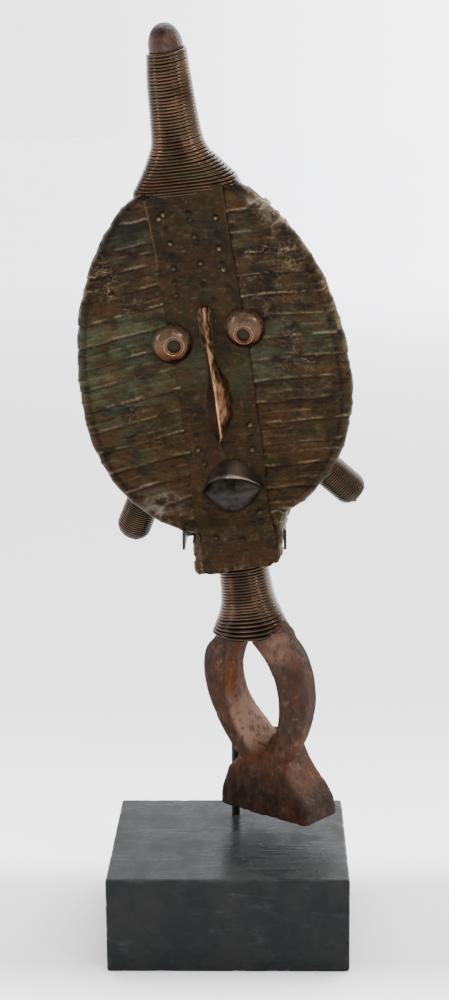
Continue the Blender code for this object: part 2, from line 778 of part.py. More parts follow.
def nose(material, parent):
    """Long narrow nose with a sharp ridge, ending in a point."""
    rows = (
        (0.0, 0.42, 0.20),
        (0.05, 0.50, 0.62),
        (0.35, 0.66, 0.86),
        (0.70, 0.90, 1.00),
        (0.86, 1.00, 1.00),
        (0.94, 0.62, 0.80),
        (1.0, 0.10, 0.22),
    )
    share = np.array([-1.0, -0.5, 0.0, 0.5, 1.0])
    slope = np.array([0.08, 0.50, 1.0, 0.55, 0.08])
    fronts = []
    backs = []
    for along, width, rise in rows:
        height = NOSE_TOP[1] + (NOSE_TIP[1] - NOSE_TOP[1]) * along
        middle = NOSE_TOP[0] + (NOSE_TIP[0] - NOSE_TOP[0]) * along
        side = middle + share * NOSE_HALF_WIDTH * width
        base = skin_depth(side, height)
        fronts.append(place(side, base - NOSE_HEIGHT * rise * slope, height))
        backs.append(place(side, base, height))
    return make_object("nose", *solid_sheet(fronts, backs), material, parent, 25.0)


def mouth(material, parent):
    """Faceted mouth: a pointed lens with a crease across it."""
    share = np.array([-0.97, -0.6, -0.15, 0.3, 0.7, 0.97])
    rises = ((1.0, 0.06), (0.55, 0.62), (0.12, 1.0), (-0.30, 0.72), (-0.72, 0.50), (-1.0, 0.06))
    fronts = []
    backs = []
    for level, rise in rises:
        reach = MOUTH_RISE if level > 0.0 else MOUTH_DROP
        shape = 1.0 - np.abs(share) ** 1.35
        height = MOUTH_PLACE[1] + level * reach * np.maximum(shape, 0.06)
        side = MOUTH_PLACE[0] + share * MOUTH_HALF_WIDTH
        base = skin_depth(side, height)
        fronts.append(place(side, base - MOUTH_HEIGHT * np.maximum(rise * shape ** 0.7, 0.06), height))
        backs.append(place(side, base, height))
    return make_object("mouth", *solid_sheet(fronts, backs), material, parent, 20.0)


# ---------------------------------------------------------------- stand

def base_block(material):
    """Square-cut block with slightly worn edges."""
    mesh = bpy.data.meshes.new("base_block")
    work = bmesh.new()
    bmesh.ops.create_cube(work, size=1.0)
    bmesh.ops.scale(work, vec=(BASE_WIDTH, BASE_DEPTH, BASE_HEIGHT), verts=work.verts)
    bmesh.ops.translate(work, vec=(0.0, 0.0, 0.5 * BASE_HEIGHT), verts=work.verts)
    work.to_mesh(mesh)
    work.free()
    mesh.materials.append(material)
    block = bpy.data.objects.new("base_block", mesh)
    bpy.context.collection.objects.link(block)
    bevel = block.modifiers.new("worn_edges", "BEVEL")
    bevel.width = BASE_BEVEL
    bevel.segments = 1
    return block


def stand_rod(material):
    """Upright rod behind the figure."""
    mesh = bpy.data.meshes.new("stand_rod")
    length = CRADLE_TOP - BASE_HEIGHT - GAP
    work = bmesh.new()
    bmesh.ops.create_cone(
        work, cap_ends=True, segments=16, radius1=ROD_RADIUS, radius2=ROD_RADIUS, depth=length)
    work.to_mesh(mesh)
    work.free()
    mesh.materials.append(material)
    mesh.shade_smooth()
    mesh.set_sharp_from_angle(angle=math.radians(40.0))
    rod = bpy.data.objects.new("stand_rod", mesh)
    rod.location = (ROD_X, ROD_Y, BASE_HEIGHT + GAP + 0.5 * length)
    bpy.context.collection.objects.link(rod)
    return rod


def strap_line(grow):
    """Plan of the cradle strap, grown outwards from its middle line."""
    left = CRADLE_LEFT_X - grow
    right = CRADLE_RIGHT_X + grow
    radius = STRAP_CORNER + grow
    back = ROD_Y - ROD_RADIUS - GAP - 0.5 * STRAP_THICKNESS + grow
    points = [(left, CRADLE_FRONT_Y)]
    for angle in np.linspace(math.pi, 0.5 * math.pi, STRAP_BEND_STEPS):
        points.append((left + radius + radius * math.cos(angle), back - radius + radius * math.sin(angle)))
    for angle in np.linspace(0.5 * math.pi, 0.0, STRAP_BEND_STEPS):
        points.append((right - radius + radius * math.cos(angle), back - radius + radius * math.sin(angle)))
    points.append((right, CRADLE_FRONT_Y))
    return np.array(points)


def cradle_strap(material):
    """Flat steel strap bent to a U, open to the front, under the cheeks."""
    grids = []
    for grow in (0.5 * STRAP_THICKNESS, -0.5 * STRAP_THICKNESS):
        line = strap_line(grow)
        rows = []
        for height in (CRADLE_TOP - STRAP_HEIGHT, CRADLE_TOP):
            rows.append(np.column_stack([line, np.full(len(line), height)]))
        grids.append(rows)
    return make_object("cradle_strap", *solid_sheet(*grids), material)


# ---------------------------------------------------------------- assembly

def main():
    """Build the stand and the figure."""
    for thing in list(bpy.data.objects):
        bpy.data.objects.remove(thing)

    wood = make_material("carved_wood", (0.120, 0.052, 0.030), 0.0, 0.55)
    sheet = make_material("hammered_sheet", (0.115, 0.085, 0.045), 0.85, 0.48)
    strip = make_material("cheek_sheet", (0.085, 0.085, 0.050), 0.80, 0.50)
    copper = make_material("polished_copper", (0.420, 0.180, 0.110), 1.0, 0.28)
    lead = make_material("grey_metal", (0.120, 0.105, 0.100), 0.90, 0.40)
    wire = make_material("bound_wire", (0.200, 0.100, 0.060), 0.90, 0.40)
    steel = make_material("black_steel", (0.020, 0.020, 0.022), 0.60, 0.50)
    slate = make_material("slate", (0.050, 0.062, 0.066), 0.0, 0.45)

    base_block(slate)
    stand_rod(steel)
    cradle_strap(steel)

    figure = bpy.data.objects.new("figure", None)
    figure.location = (FIGURE_X, FIGURE_Y, BASE_HEIGHT + FOOT_CLEARANCE)
    figure.rotation_euler = (0.0, -SIDE_TILT, 0.0)
    bpy.context.collection.objects.link(figure)
    matrix = Matrix.Translation(figure.location) @ figure.rotation_euler.to_matrix().to_4x4()

    body = head_board(wood, figure)
    forms = [
        chin_block(wood, figure),
        neck_column(wood, figure),
        branch(-1, wood, figure),
        branch(1, wood, figure),
        foot_block(wood, figure, matrix),
        topknot_core(wood, figure),
        horn_core(-1, wood, figure),
        horn_core(1, wood, figure),
    ]
    join_carved(body, forms)

    face_sheet(sheet, figure)
    for hand, first in ((-1, 0), (1, 1)):
        chin_side_sheet(hand, sheet, figure)
        horn_winding(hand, wire, figure)
        eye(hand, copper, figure)
        cutter = horn_clearance(hand, figure)
        for index in range(first, STRIP_COUNT):
            piece = cheek_strip(index, hand, strip, figure)
            if index in STRIPS_AT_HORN[hand]:
                cut = piece.modifiers.new("clear_of_horn", "BOOLEAN")
                cut.operation = "DIFFERENCE"
                cut.solver = "EXACT"
                cut.object = cutter
    winding("topknot_winding", TOPKNOT_BIND, topknot_section, TOPKNOT_STATIONS, wire, figure)
    winding("neck_winding", NECK_BIND, neck_section, NECK_STATIONS, wire, figure)
    nose(copper, figure)
    mouth(lead, figure)


if __name__ == "__main__":
    main()
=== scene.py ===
"""Guardian figure from a reliquary: the looks.

Sheet metal beaten over a carved board, bound wire, aged wood, a slate block and a steel stand are
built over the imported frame, in its own coordinates: metres, +Z up, the figure faces -Y.

Most pieces are drawn straight, as (side, depth, height): side to the viewer's right, depth from
front (-) to back (+), height up from the foot.  Spine.place carries them onto the bent spine.
"""
import logging
import math
from dataclasses import dataclass, field
from enum import Enum

import bpy
import numpy as np
from mathutils import Matrix, Vector

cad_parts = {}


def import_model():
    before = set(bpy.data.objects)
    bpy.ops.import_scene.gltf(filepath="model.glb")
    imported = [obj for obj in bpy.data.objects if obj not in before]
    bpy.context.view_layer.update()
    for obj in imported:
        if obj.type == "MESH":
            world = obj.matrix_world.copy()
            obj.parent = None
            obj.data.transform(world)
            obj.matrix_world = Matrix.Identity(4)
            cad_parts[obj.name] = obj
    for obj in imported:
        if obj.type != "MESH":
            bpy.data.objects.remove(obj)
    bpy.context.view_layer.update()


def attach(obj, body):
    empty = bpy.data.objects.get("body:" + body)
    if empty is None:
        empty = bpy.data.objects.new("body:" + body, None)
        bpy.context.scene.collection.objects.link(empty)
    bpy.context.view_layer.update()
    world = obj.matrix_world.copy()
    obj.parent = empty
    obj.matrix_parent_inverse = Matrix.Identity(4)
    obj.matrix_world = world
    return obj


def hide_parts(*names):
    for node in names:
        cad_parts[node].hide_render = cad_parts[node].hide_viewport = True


Array = np.ndarray
Values = dict[str, Array]
Pair = tuple[float, float]
Triple = tuple[float, float, float]
Socket = bpy.types.NodeSocket
Material = bpy.types.Material
LOG = logging.getLogger("guardian")
BODY = "root"


class Hand(Enum):
    """Half of the figure, as the viewer sees it."""

    LEFT = -1
    RIGHT = 1

    @property
    def label(self) -> str:
        """Word used for this half in the nodes' names."""
        return self.name.lower()


# ------------------------------------------------------------------ numbers and relief

def unit(value: Array) -> Array:
    """Value held from 0 to 1."""
    return np.clip(value, 0.0, 1.0)


def ease(value: Array) -> Array:
    """Ease from 0 to 1 with flat ends: three times the square less twice the cube."""
    ratio = unit(value)
    return ratio * ratio * (3.0 - 2.0 * ratio)


def wear(**values: Array) -> Values:
    """Numbers that the finishes read, each held from 0 to 1."""
    return {name: unit(value) for name, value in values.items()}


def circle(count: int) -> Array:
    """Angles of points spaced evenly round a ring."""
    return np.linspace(0.0, 2.0 * math.pi, count, endpoint=False)


def stacked(*parts: Array) -> Array:
    """Rows of coordinates, from arrays that fit one another."""
    return np.stack(np.broadcast_arrays(*parts), -1)


def direction(line: Array) -> Array:
    """The same lines, each one unit long."""
    return line / np.linalg.norm(line, axis=-1, keepdims=True)


def mound(distance: Array, width: float) -> Array:
    """Bell of height 1: e to the minus square of distance over width."""
    return np.exp(-(distance / width) ** 2)


def spots(side: Array, height: Array, *table: tuple) -> Array:
    """Sum of soft spots, each of strength, side, height, width and, if it isn't round, its two stretches."""
    total = np.zeros(np.broadcast(side, height).shape)
    for strength, across, level, width, *stretch in table:
        wide, tall = stretch or (1.0, 1.0)
        total = total + strength * mound(np.hypot((side - across) / wide, (height - level) / tall), width)
    return total


def through(table: tuple, column: int, height: Array) -> Array:
    """Smooth line through one column of a station table.

    Each span is a cubic whose end slopes are the harmonic mean of the neighbouring chords, and
    zero where the chords turn back, so it never swings past a station.

    Args:
        table: Rows of numbers, the first of each row a height, rising.
        column: Which number of each row to follow.
        height: Heights to read.

    Returns:
        The values, held constant past both ends.
    """
    x, y = np.array(table, float)[:, [0, column]].T
    chord = np.diff(y) / np.diff(x)
    slope = np.concatenate([chord[:1], np.zeros(len(y) - 2), chord[-1:]])
    before, after = chord[:-1], chord[1:]
    slope[1:-1] = np.where(before * after > 0.0, 2.0 * before * after / np.where(
        before * after > 0.0, before + after, 1.0), 0.0)
    level = np.clip(height, x[0], x[-1])
    index = np.clip(np.searchsorted(x, level, side="right") - 1, 0, len(x) - 2)
    span = x[index + 1] - x[index]
    t = (level - x[index]) / span
    low = y[index] * (1.0 + 2.0 * t) * (1.0 - t) ** 2
    high = y[index + 1] * t * t * (3.0 - 2.0 * t)
    return low + high + span * t * (1.0 - t) * (slope[index] * (1.0 - t) - slope[index + 1] * t)


def stations(table: tuple, height: Array) -> list[Array]:
    """Smooth lines through all columns of a station table after its heights."""
    return [through(table, column, height) for column in range(1, len(table[0]))]


def lattice(corner: Array, seed: int) -> Array:
    """Repeatable value from 0 to 1 at whole-numbered corners, by mixing the bits of their numbers."""
    mixed = corner[..., 0] * 73856093 ^ corner[..., 1] * 19349663 ^ corner[..., 2] * 83492791
    mixed = (mixed ^ seed * 668265263) & 0xFFFFFFFF
    for shift in (15, 13):
        mixed = (mixed ^ (mixed >> shift)) * 1274126177 & 0xFFFFFFFF
    return (mixed >> 8) / float(0xFFFFFF)


def noise(points: Array, size: float, seed: int, layers: int = 3) -> Array:
    """Cloudy relief from -1 to 1.

    Lattice values are eased between the eight corners round a point; each further layer has half
    the size and half the strength.

    Args:
        points: Points as rows of three.
        size: Width of the largest lumps, in the points' own units.
        seed: Number that picks the pattern.
        layers: How many layers are added.

    Returns:
        One value a point.
    """
    total = np.zeros(points.shape[:-1])
    weight = 0.0
    for layer in range(layers):
        strength = 0.5 ** layer
        scaled = points / size * 2.0 ** layer + 17.3 * layer
        low = np.floor(scaled).astype(np.int64)
        t = ease(scaled - low)
        value = np.zeros_like(total)
        for corner in np.ndindex(2, 2, 2):
            share = np.prod(np.where(np.array(corner) == 1, t, 1.0 - t), -1)
            value = value + share * lattice(low + np.array(corner), seed + layer)
        total = total + strength * (2.0 * value - 1.0)
        weight += strength
    return total / weight * 1.6


def flat_noise(u: Array, v: Array, size: float, seed: int, stretch: float = 1.0, layers: int = 3) -> Array:
    """Cloudy relief on a surface with coordinates u and v, its lumps stretched along u."""
    return noise(stacked(u / stretch, v, 0.0), size, seed, layers)


def creases(u: Array, v: Array, size: float, seed: int, stretch: float = 1.0) -> Array:
    """Thin raised folds from 0 to 1: one less the steep absolute value of cloudy relief."""
    return unit(1.0 - 3.0 * np.abs(flat_noise(u, v, size, seed, stretch, 2))) ** 1.5


def cells(u: Array, v: Array, size: float, seed: int) -> tuple[Array, Array]:
    """Nearest hammer blow on a surface.

    Blows lie on a square lattice, each moved at random within its square.

    Args:
        u: First surface coordinate.
        v: Second surface coordinate.
        size: Lattice spacing.
        seed: Number that picks the pattern.

    Returns:
        Distance to the nearest blow over the spacing, and the height of a plane tilted at random
        about it.
    """
    scaled = stacked(u, v, 0.0) / size
    home = np.floor(scaled).astype(np.int64)
    best = np.full(scaled.shape[:-1], 9.0)
    tilt = np.zeros(scaled.shape[:-1])
    for step in np.ndindex(3, 3):
        square = home + np.array([step[0] - 1, step[1] - 1, 0])
        off_u = scaled[..., 0] - (square[..., 0] + 0.15 + 0.7 * lattice(square, seed))
        off_v = scaled[..., 1] - (square[..., 1] + 0.15 + 0.7 * lattice(square, seed + 1))
        distance = np.hypot(off_u, off_v)
        turn = 2.0 * math.pi * lattice(square, seed + 2)
        nearer = distance < best
        best = np.where(nearer, distance, best)
        tilt = np.where(nearer, off_u * np.cos(turn) + off_v * np.sin(turn), tilt)
    return best, tilt


# ------------------------------------------------------------------ surfaces

@dataclass
class Shape:
    """Closed surface as arrays."""

    points: Array
    quads: Array
    triangles: Array = field(default_factory=lambda: np.zeros((0, 3), int))
    values: Values = field(default_factory=dict)


def grid_faces(rows: int, columns: int, start: int = 0, wrap: bool = False) -> Array:
    """Quads over a grid of points numbered row by row from start, its rows joined into rings or not."""
    row = start + columns * np.arange(rows - 1)[:, None]
    column = np.arange(columns if wrap else columns - 1)[None, :]
    after = (column + 1) % columns
    return stacked(row + column, row + after, row + columns + after, row + columns + column).reshape(-1, 4)


def tube(rings: Array, values: Values | None = None) -> Shape:
    """Closed surface through rings of points, each end closed on its middle point."""
    rows, columns = rings.shape[:2]
    points = np.concatenate([rings.reshape(-1, 3), rings[0].mean(0)[None], rings[-1].mean(0)[None]])
    column = np.arange(columns)
    after = (column + 1) % columns
    last = (rows - 1) * columns
    ends = np.concatenate([
        stacked(rows * columns, after, column), stacked(rows * columns + 1, last + column, last + after)])
    kept = {}
    for name, value in (values or {}).items():
        value = np.broadcast_to(value, (rows, columns))
        kept[name] = np.concatenate([value.ravel(), [value[0].mean(), value[-1].mean()]])
    return Shape(points, grid_faces(rows, columns, wrap=True), ends, kept)


def shell(front: Array, back: Array, values: Values | None = None) -> Shape:
    """Closed surface between two open grids of equal size, walled round their edge."""
    rows, columns = front.shape[:2]
    shift = rows * columns
    number = np.arange(shift).reshape(rows, columns)
    edge = np.concatenate([number[0, :-1], number[:-1, -1], number[-1, :0:-1], number[:0:-1, 0]])
    after = np.roll(edge, -1)
    faces = grid_faces(rows, columns)
    quads = np.concatenate([faces, faces[:, ::-1] + shift, stacked(after, edge, edge + shift, after + shift)])
    kept = {
        name: np.tile(np.broadcast_to(value, (rows, columns)).ravel(), 2)
        for name, value in (values or {}).items()
    }
    return Shape(np.concatenate([front.reshape(-1, 3), back.reshape(-1, 3)]), quads, values=kept)


def join(shapes: list[Shape]) -> Shape:
    """Several surfaces as one, their numbers shifted along."""
    shift = np.cumsum([0] + [len(shape.points) for shape in shapes])
    quads = np.concatenate([shape.quads + start for shape, start in zip(shapes, shift)])
    triangles = np.concatenate([shape.triangles + start for shape, start in zip(shapes, shift)])
    names = {name for shape in shapes for name in shape.values}
    values = {
        name: np.concatenate([shape.values.get(name, np.zeros(len(shape.points))) for shape in shapes])
        for name in sorted(names)
    }
    return Shape(np.concatenate([shape.points for shape in shapes]), quads, triangles, values)


def volume(shape: Shape) -> float:
    """Signed volume: a sixth of the triple products of its triangles, above zero facing outwards."""
    split = np.concatenate([shape.quads[:, :3], shape.quads[:, [0, 2, 3]], shape.triangles])
    a, b, c = (shape.points[split[:, index]] for index in range(3))
    return float(np.sum(a * np.cross(b, c)) / 6.0)


def grid_normals(points: Array) -> Array:
    """Unit normals of a grid: the cross product of its differences along rows and along columns."""
    return direction(np.cross(np.gradient(points, axis=1), np.gradient(points, axis=0)))


def mesh_object(name: str, shape: Shape, sharp_degrees: float = 50.0) -> bpy.types.Object:
    """Object with a shape's mesh, outward facing, smooth but for its sharp edges.

    Args:
        name: Name of the object and of its mesh.
        shape: Closed surface; each of its values becomes a point attribute.
        sharp_degrees: Edges that turn more than this stay sharp.

    Returns:
        The object, at the origin, in the scene's collection.
    """
    quads, triangles = shape.quads, shape.triangles
    if volume(shape) < 0.0:
        quads, triangles = quads[:, ::-1], triangles[:, ::-1]
    mesh = bpy.data.meshes.new(name)
    corners = np.concatenate([quads.ravel(), triangles.ravel()]).astype(np.int32)
    starts = np.concatenate([np.arange(len(quads)) * 4, quads.size + np.arange(len(triangles)) * 3])
    mesh.vertices.add(len(shape.points))
    mesh.vertices.foreach_set("co", shape.points.astype(np.float32).ravel())
    mesh.loops.add(len(corners))
    mesh.loops.foreach_set("vertex_index", corners)
    mesh.polygons.add(len(starts))
    mesh.polygons.foreach_set("loop_start", starts.astype(np.int32))
    mesh.update(calc_edges=True)
    for key, value in shape.values.items():
        layer = mesh.attributes.new(key, "FLOAT", "POINT")
        layer.data.foreach_set("value", np.broadcast_to(value, len(shape.points)).astype(np.float32))
    mesh.shade_smooth()
    mesh.set_sharp_from_angle(angle=math.radians(sharp_degrees))
    thing = bpy.data.objects.new(name, mesh)
    bpy.context.collection.objects.link(thing)
    return thing


def carve_together(shapes: list[Shape], voxel: float) -> tuple[Array, Array, Array]:
    """Skin round overlapping closed surfaces, as one even mesh.

    Args:
        shapes: Closed surfaces that overlap.
        voxel: Width of the even mesh's squares.

    Returns:
        Points, quads and outward unit normals.
    """
    rough = mesh_object("rough_wood", join([outward(shape) for shape in shapes]))
    skin = rough.modifiers.new("even_skin", "REMESH")
    skin.mode = "VOXEL"
    skin.voxel_size = voxel
    graph = bpy.context.evaluated_depsgraph_get()
    mesh = bpy.data.meshes.new_from_object(rough.evaluated_get(graph))
    points, normals = np.zeros((2, len(mesh.vertices) * 3), np.float32)
    corners = np.zeros(len(mesh.loops), np.int32)
    mesh.vertices.foreach_get("co", points)
    mesh.vertex_normals.foreach_get("vector", normals)
    mesh.loops.foreach_get("vertex_index", corners)
    bpy.data.objects.remove(rough)
    bpy.data.meshes.remove(mesh)
    points, normals = points.reshape(-1, 3).astype(float), normals.reshape(-1, 3).astype(float)
    return points, corners.reshape(-1, 4).astype(int), normals


def outward(shape: Shape) -> Shape:
    """The same surface with its faces turned outwards."""
    if volume(shape) < 0.0:
        return Shape(shape.points, shape.quads[:, ::-1], shape.triangles[:, ::-1], shape.values)
    return shape


def section(half_side: Array, half_depth: Array, power: Array, angle: Array) -> tuple[Array, Array]:
    """Side and depth round a rounded rectangle.

    Cosine and sine of the angle, each to the power of two over the squareness with its sign kept,
    times the half sizes.
    """
    cosine, sine = np.cos(angle), np.sin(angle)
    side = half_side * np.sign(cosine) * np.abs(cosine) ** (2.0 / power)
    depth = half_depth * np.sign(sine) * np.abs(sine) ** (2.0 / power)
    return side, depth


# ------------------------------------------------------------------ forms the pieces share

@dataclass(frozen=True)
class Spine:
    """Line of the figure: it leans forward with height, turns towards the foot and tilts sideways."""

    foot: Triple = (0.0372, 0.0157, 0.083)
    side_tilt: float = math.radians(7.9)
    lean: float = math.radians(12.0)
    lean_from: float = 0.14
    lean_to: float = 0.44
    foot_turn: float = math.radians(39.0)
    head_turn: float = math.radians(10.0)
    turn_to: float = 0.205
    low: float = -0.040
    high: float = 0.640
    step: float = 0.0025

    def lean_at(self, height: Array) -> Array:
        """Forward lean at a height."""
        return self.lean * ease((height - self.lean_from) / (self.lean_to - self.lean_from))

    def turn_at(self, height: Array) -> Array:
        """Turn about the spine at a height."""
        return self.head_turn + (self.foot_turn - self.head_turn) * (1.0 - ease(height / self.turn_to))

    def place(self, points: Array) -> Array:
        """Carry straight coordinates into the frame.

        The spine's own line is the sum of small steps along its lean; a point goes out from it by
        its side along the turned crosswise line and by its depth along the line square to both,
        and the whole is tilted sideways about the foot.

        Args:
            points: Rows of side, depth and height.

        Returns:
            Rows of x, y and z.
        """
        side, depth, height = np.moveaxis(points, -1, 0)
        marks = np.arange(self.low, self.high, self.step)
        line_y = -np.cumsum(np.sin(self.lean_at(marks))) * self.step
        line_z = self.low + np.cumsum(np.cos(self.lean_at(marks))) * self.step
        lean, turn = self.lean_at(height), self.turn_at(height)
        centre = stacked(0.0, np.interp(height, marks, line_y), np.interp(height, marks, line_z))
        along = stacked(0.0, -np.sin(lean), np.cos(lean))
        across = stacked(np.cos(turn), -np.sin(turn), 0.0)
        across = direction(across - along * np.sum(across * along, -1, keepdims=True))
        local = centre + side[..., None] * across + depth[..., None] * np.cross(along, across)
        x, y, z = np.moveaxis(local, -1, 0)
        cosine, sine = math.cos(self.side_tilt), math.sin(self.side_tilt)
        return stacked(x * cosine - z * sine, y, x * sine + z * cosine) + np.array(self.foot)

    def placed(self, shape: Shape) -> Shape:
        """The same surface, carried into the frame."""
        return Shape(self.place(shape.points), shape.quads, shape.triangles, shape.values)


SPINE = Spine()


@dataclass(frozen=True)
class HeadForm:
    """Dished oval board that the sheets are beaten over, in straight coordinates."""

    middle: float = 0.002
    half_width: float = 0.0962
    widest: Pair = (0.3195, 0.3295)
    rise: Pair = (0.152, 0.146)
    drop: Pair = (0.1050, 0.1090)
    drop_power: Pair = (2.25, 2.3)
    low: Pair = (0.2235, 0.2305)
    high: float = 0.463
    strips: int = 16
    front: float = 0.006
    dish_side: float = 0.014
    dish_top: float = 0.008
    dish_chin: float = 0.014
    back: float = 0.010
    back_side: float = 0.021
    back_ends: float = 0.014
    rim: float = 0.0042
    skin: float = 0.0013
    back_blend: float = 0.012
    sheet_left: float = -0.0255
    sheet_right: float = 0.0290
    narrowest_strip: float = 0.005

    def pick(self, pair: Pair, hand: Hand) -> float:
        """The half's own number of a pair."""
        return pair[0] if hand is Hand.LEFT else pair[1]

    def half_width_at(self, height: Array, hand: Hand) -> Array:
        """Half width of the clad head: a half ellipse above the widest line and a fuller one below."""
        widest = self.pick(self.widest, hand)
        above = (height - widest) / self.pick(self.rise, hand)
        below = (widest - height) / self.pick(self.drop, hand)
        reach = unit(np.where(height > widest, above, below))
        power = np.where(height > widest, 2.0, self.pick(self.drop_power, hand))
        return self.half_width * np.sqrt(np.maximum(1.0 - reach ** power, 0.0))

    def end_curve(self, height: Array, top: float, bottom: float, most: float) -> Array:
        """Square of the way from the middle to an end, times top above and bottom below."""
        middle = 0.5 * sum(self.widest)
        up = top * ((height - middle) / self.rise[1]) ** 2
        down = bottom * np.clip((middle - height) / self.drop[1], 0.0, most) ** 2
        return np.where(height > middle, up, down)

    def front_depth(self, side: Array, height: Array) -> Array:
        """Depth of the wooden face: squares of side and height bring its rim and chin forward."""
        ends = self.end_curve(height, self.dish_top, self.dish_chin, 0.95)
        return -(self.front + self.dish_side * ((side - self.middle) / self.half_width) ** 2 + ends)

    def back_depth(self, side: Array, height: Array) -> Array:
        """Depth of the wooden back, rounded in the same way."""
        ends = self.end_curve(height, self.back_ends, self.back_ends, 1.0)
        return self.back - self.back_side * ((side - self.middle) / self.half_width) ** 2 - ends

    def sheet_edge(self, height: Array, hand: Hand) -> Array:
        """Side of the middle sheet's edge; it closes in where the head narrows."""
        edge = self.sheet_left if hand is Hand.LEFT else self.sheet_right
        limit = self.half_width_at(height, hand) - self.rim - self.narrowest_strip
        return self.middle + hand.value * np.minimum(hand.value * (edge - self.middle), limit)

    def skin_line(self, hand: Hand, start: Array, share: Array, height: Array, fold: Array) -> Array:
        """Points on the board from its front round the rim to the back.

        Share 0 to 1 runs straight from start to the rim, 1 to 2 round the rim's half circle, and 2
        to 3 inwards over the back by fold.

        Args:
            hand: Half of the head.
            start: Side where the line starts.
            share: Place along the line.
            height: Height of each point.
            fold: Reach over the back.

        Returns:
            Rows of side, depth and height.
        """
        reach = self.half_width_at(height, hand) - self.skin - self.rim
        inner = self.middle + hand.value * reach
        rim_front = self.front_depth(inner, height)
        side = start + (inner - start) * unit(share)
        angle = math.pi * unit(share - 1.0)
        run = fold * unit(share - 2.0)
        knee = np.minimum(self.back_blend, 0.5 * reach)
        end = rim_front + 2.0 * self.rim
        deep = np.maximum(self.back_depth(inner - hand.value * knee, height), end)
        middle_deep = np.maximum(self.back_depth(self.middle, height), end)
        past = unit((run - knee) / np.maximum(reach - knee, 1e-6))
        back = end + (deep - end) * np.minimum(run / knee, 1.0) + (middle_deep - deep) * past
        full_side = np.where(share > 1.0, inner + hand.value * (self.rim * np.sin(angle) - run), side)
        rim_depth = rim_front + self.rim * (1.0 - np.cos(angle))
        depth = np.where(share > 2.0, back, np.where(share > 1.0, rim_depth, self.front_depth(side, height)))
        return stacked(full_side, depth, height)

    def seams(self) -> Array:
        """Heights of the seams between the cheek strips, lowest first."""
        return np.concatenate([[self.low[0]], np.linspace(self.low[1], self.high, self.strips)])


HEAD = HeadForm()


@dataclass(frozen=True)
class ChinForm:
    """Block under the face."""

    low: float = 0.1892
    neck_top: float = 0.212
    high: float = 0.246
    half_width: float = 0.0290
    back_narrowing: Pair = (0.0028, 0.0046)
    back: float = 0.0160
    back_top: float = 0.0015
    corner: float = 0.006
    flare: float = 0.0034
    flare_from: float = 0.2220
    slant: float = 0.00165
    level_share: float = 0.27

    def half_width_at(self, height: Array) -> Array:
        """Half width of the block, its lower corners rounded by a quarter ellipse."""
        near = unit((self.low + self.corner - height) / self.corner)
        return self.half_width - self.corner * (1.0 - np.sqrt(1.0 - 0.92 * near ** 2))

    def flare_at(self, height: Array, share: Array) -> Array:
        """Spread of the viewer's left flank towards its lower corner."""
        low = unit((self.flare_from - height) / (self.flare_from - self.low))
        return self.flare * low * (share < 0.0)

    def level(self, height: Array, share: Array) -> Array:
        """Height with the lower edge's slant across the block."""
        near = ease((self.low + 3.0 * self.corner - height) / (2.0 * self.corner))
        return height + self.slant * (share - self.level_share) * near


CHIN = ChinForm()


# ------------------------------------------------------------------ finishes

def add_node(tree: bpy.types.NodeTree, kind: str, inputs: dict, **settings: object) -> bpy.types.Node:
    """Add a node to a node tree.

    Args:
        tree: The material's or the surround's node tree.
        kind: Blender's name of the node type.
        inputs: Sockets to link or constants to set, by socket name or number.
        **settings: Properties of the node.

    Returns:
        The node.
    """
    node = tree.nodes.new(kind)
    for key, value in settings.items():
        setattr(node, key, value)
    for key, value in inputs.items():
        if isinstance(value, Socket):
            tree.links.new(value, node.inputs[key])
        else:
            node.inputs[key].default_value = value
    return node


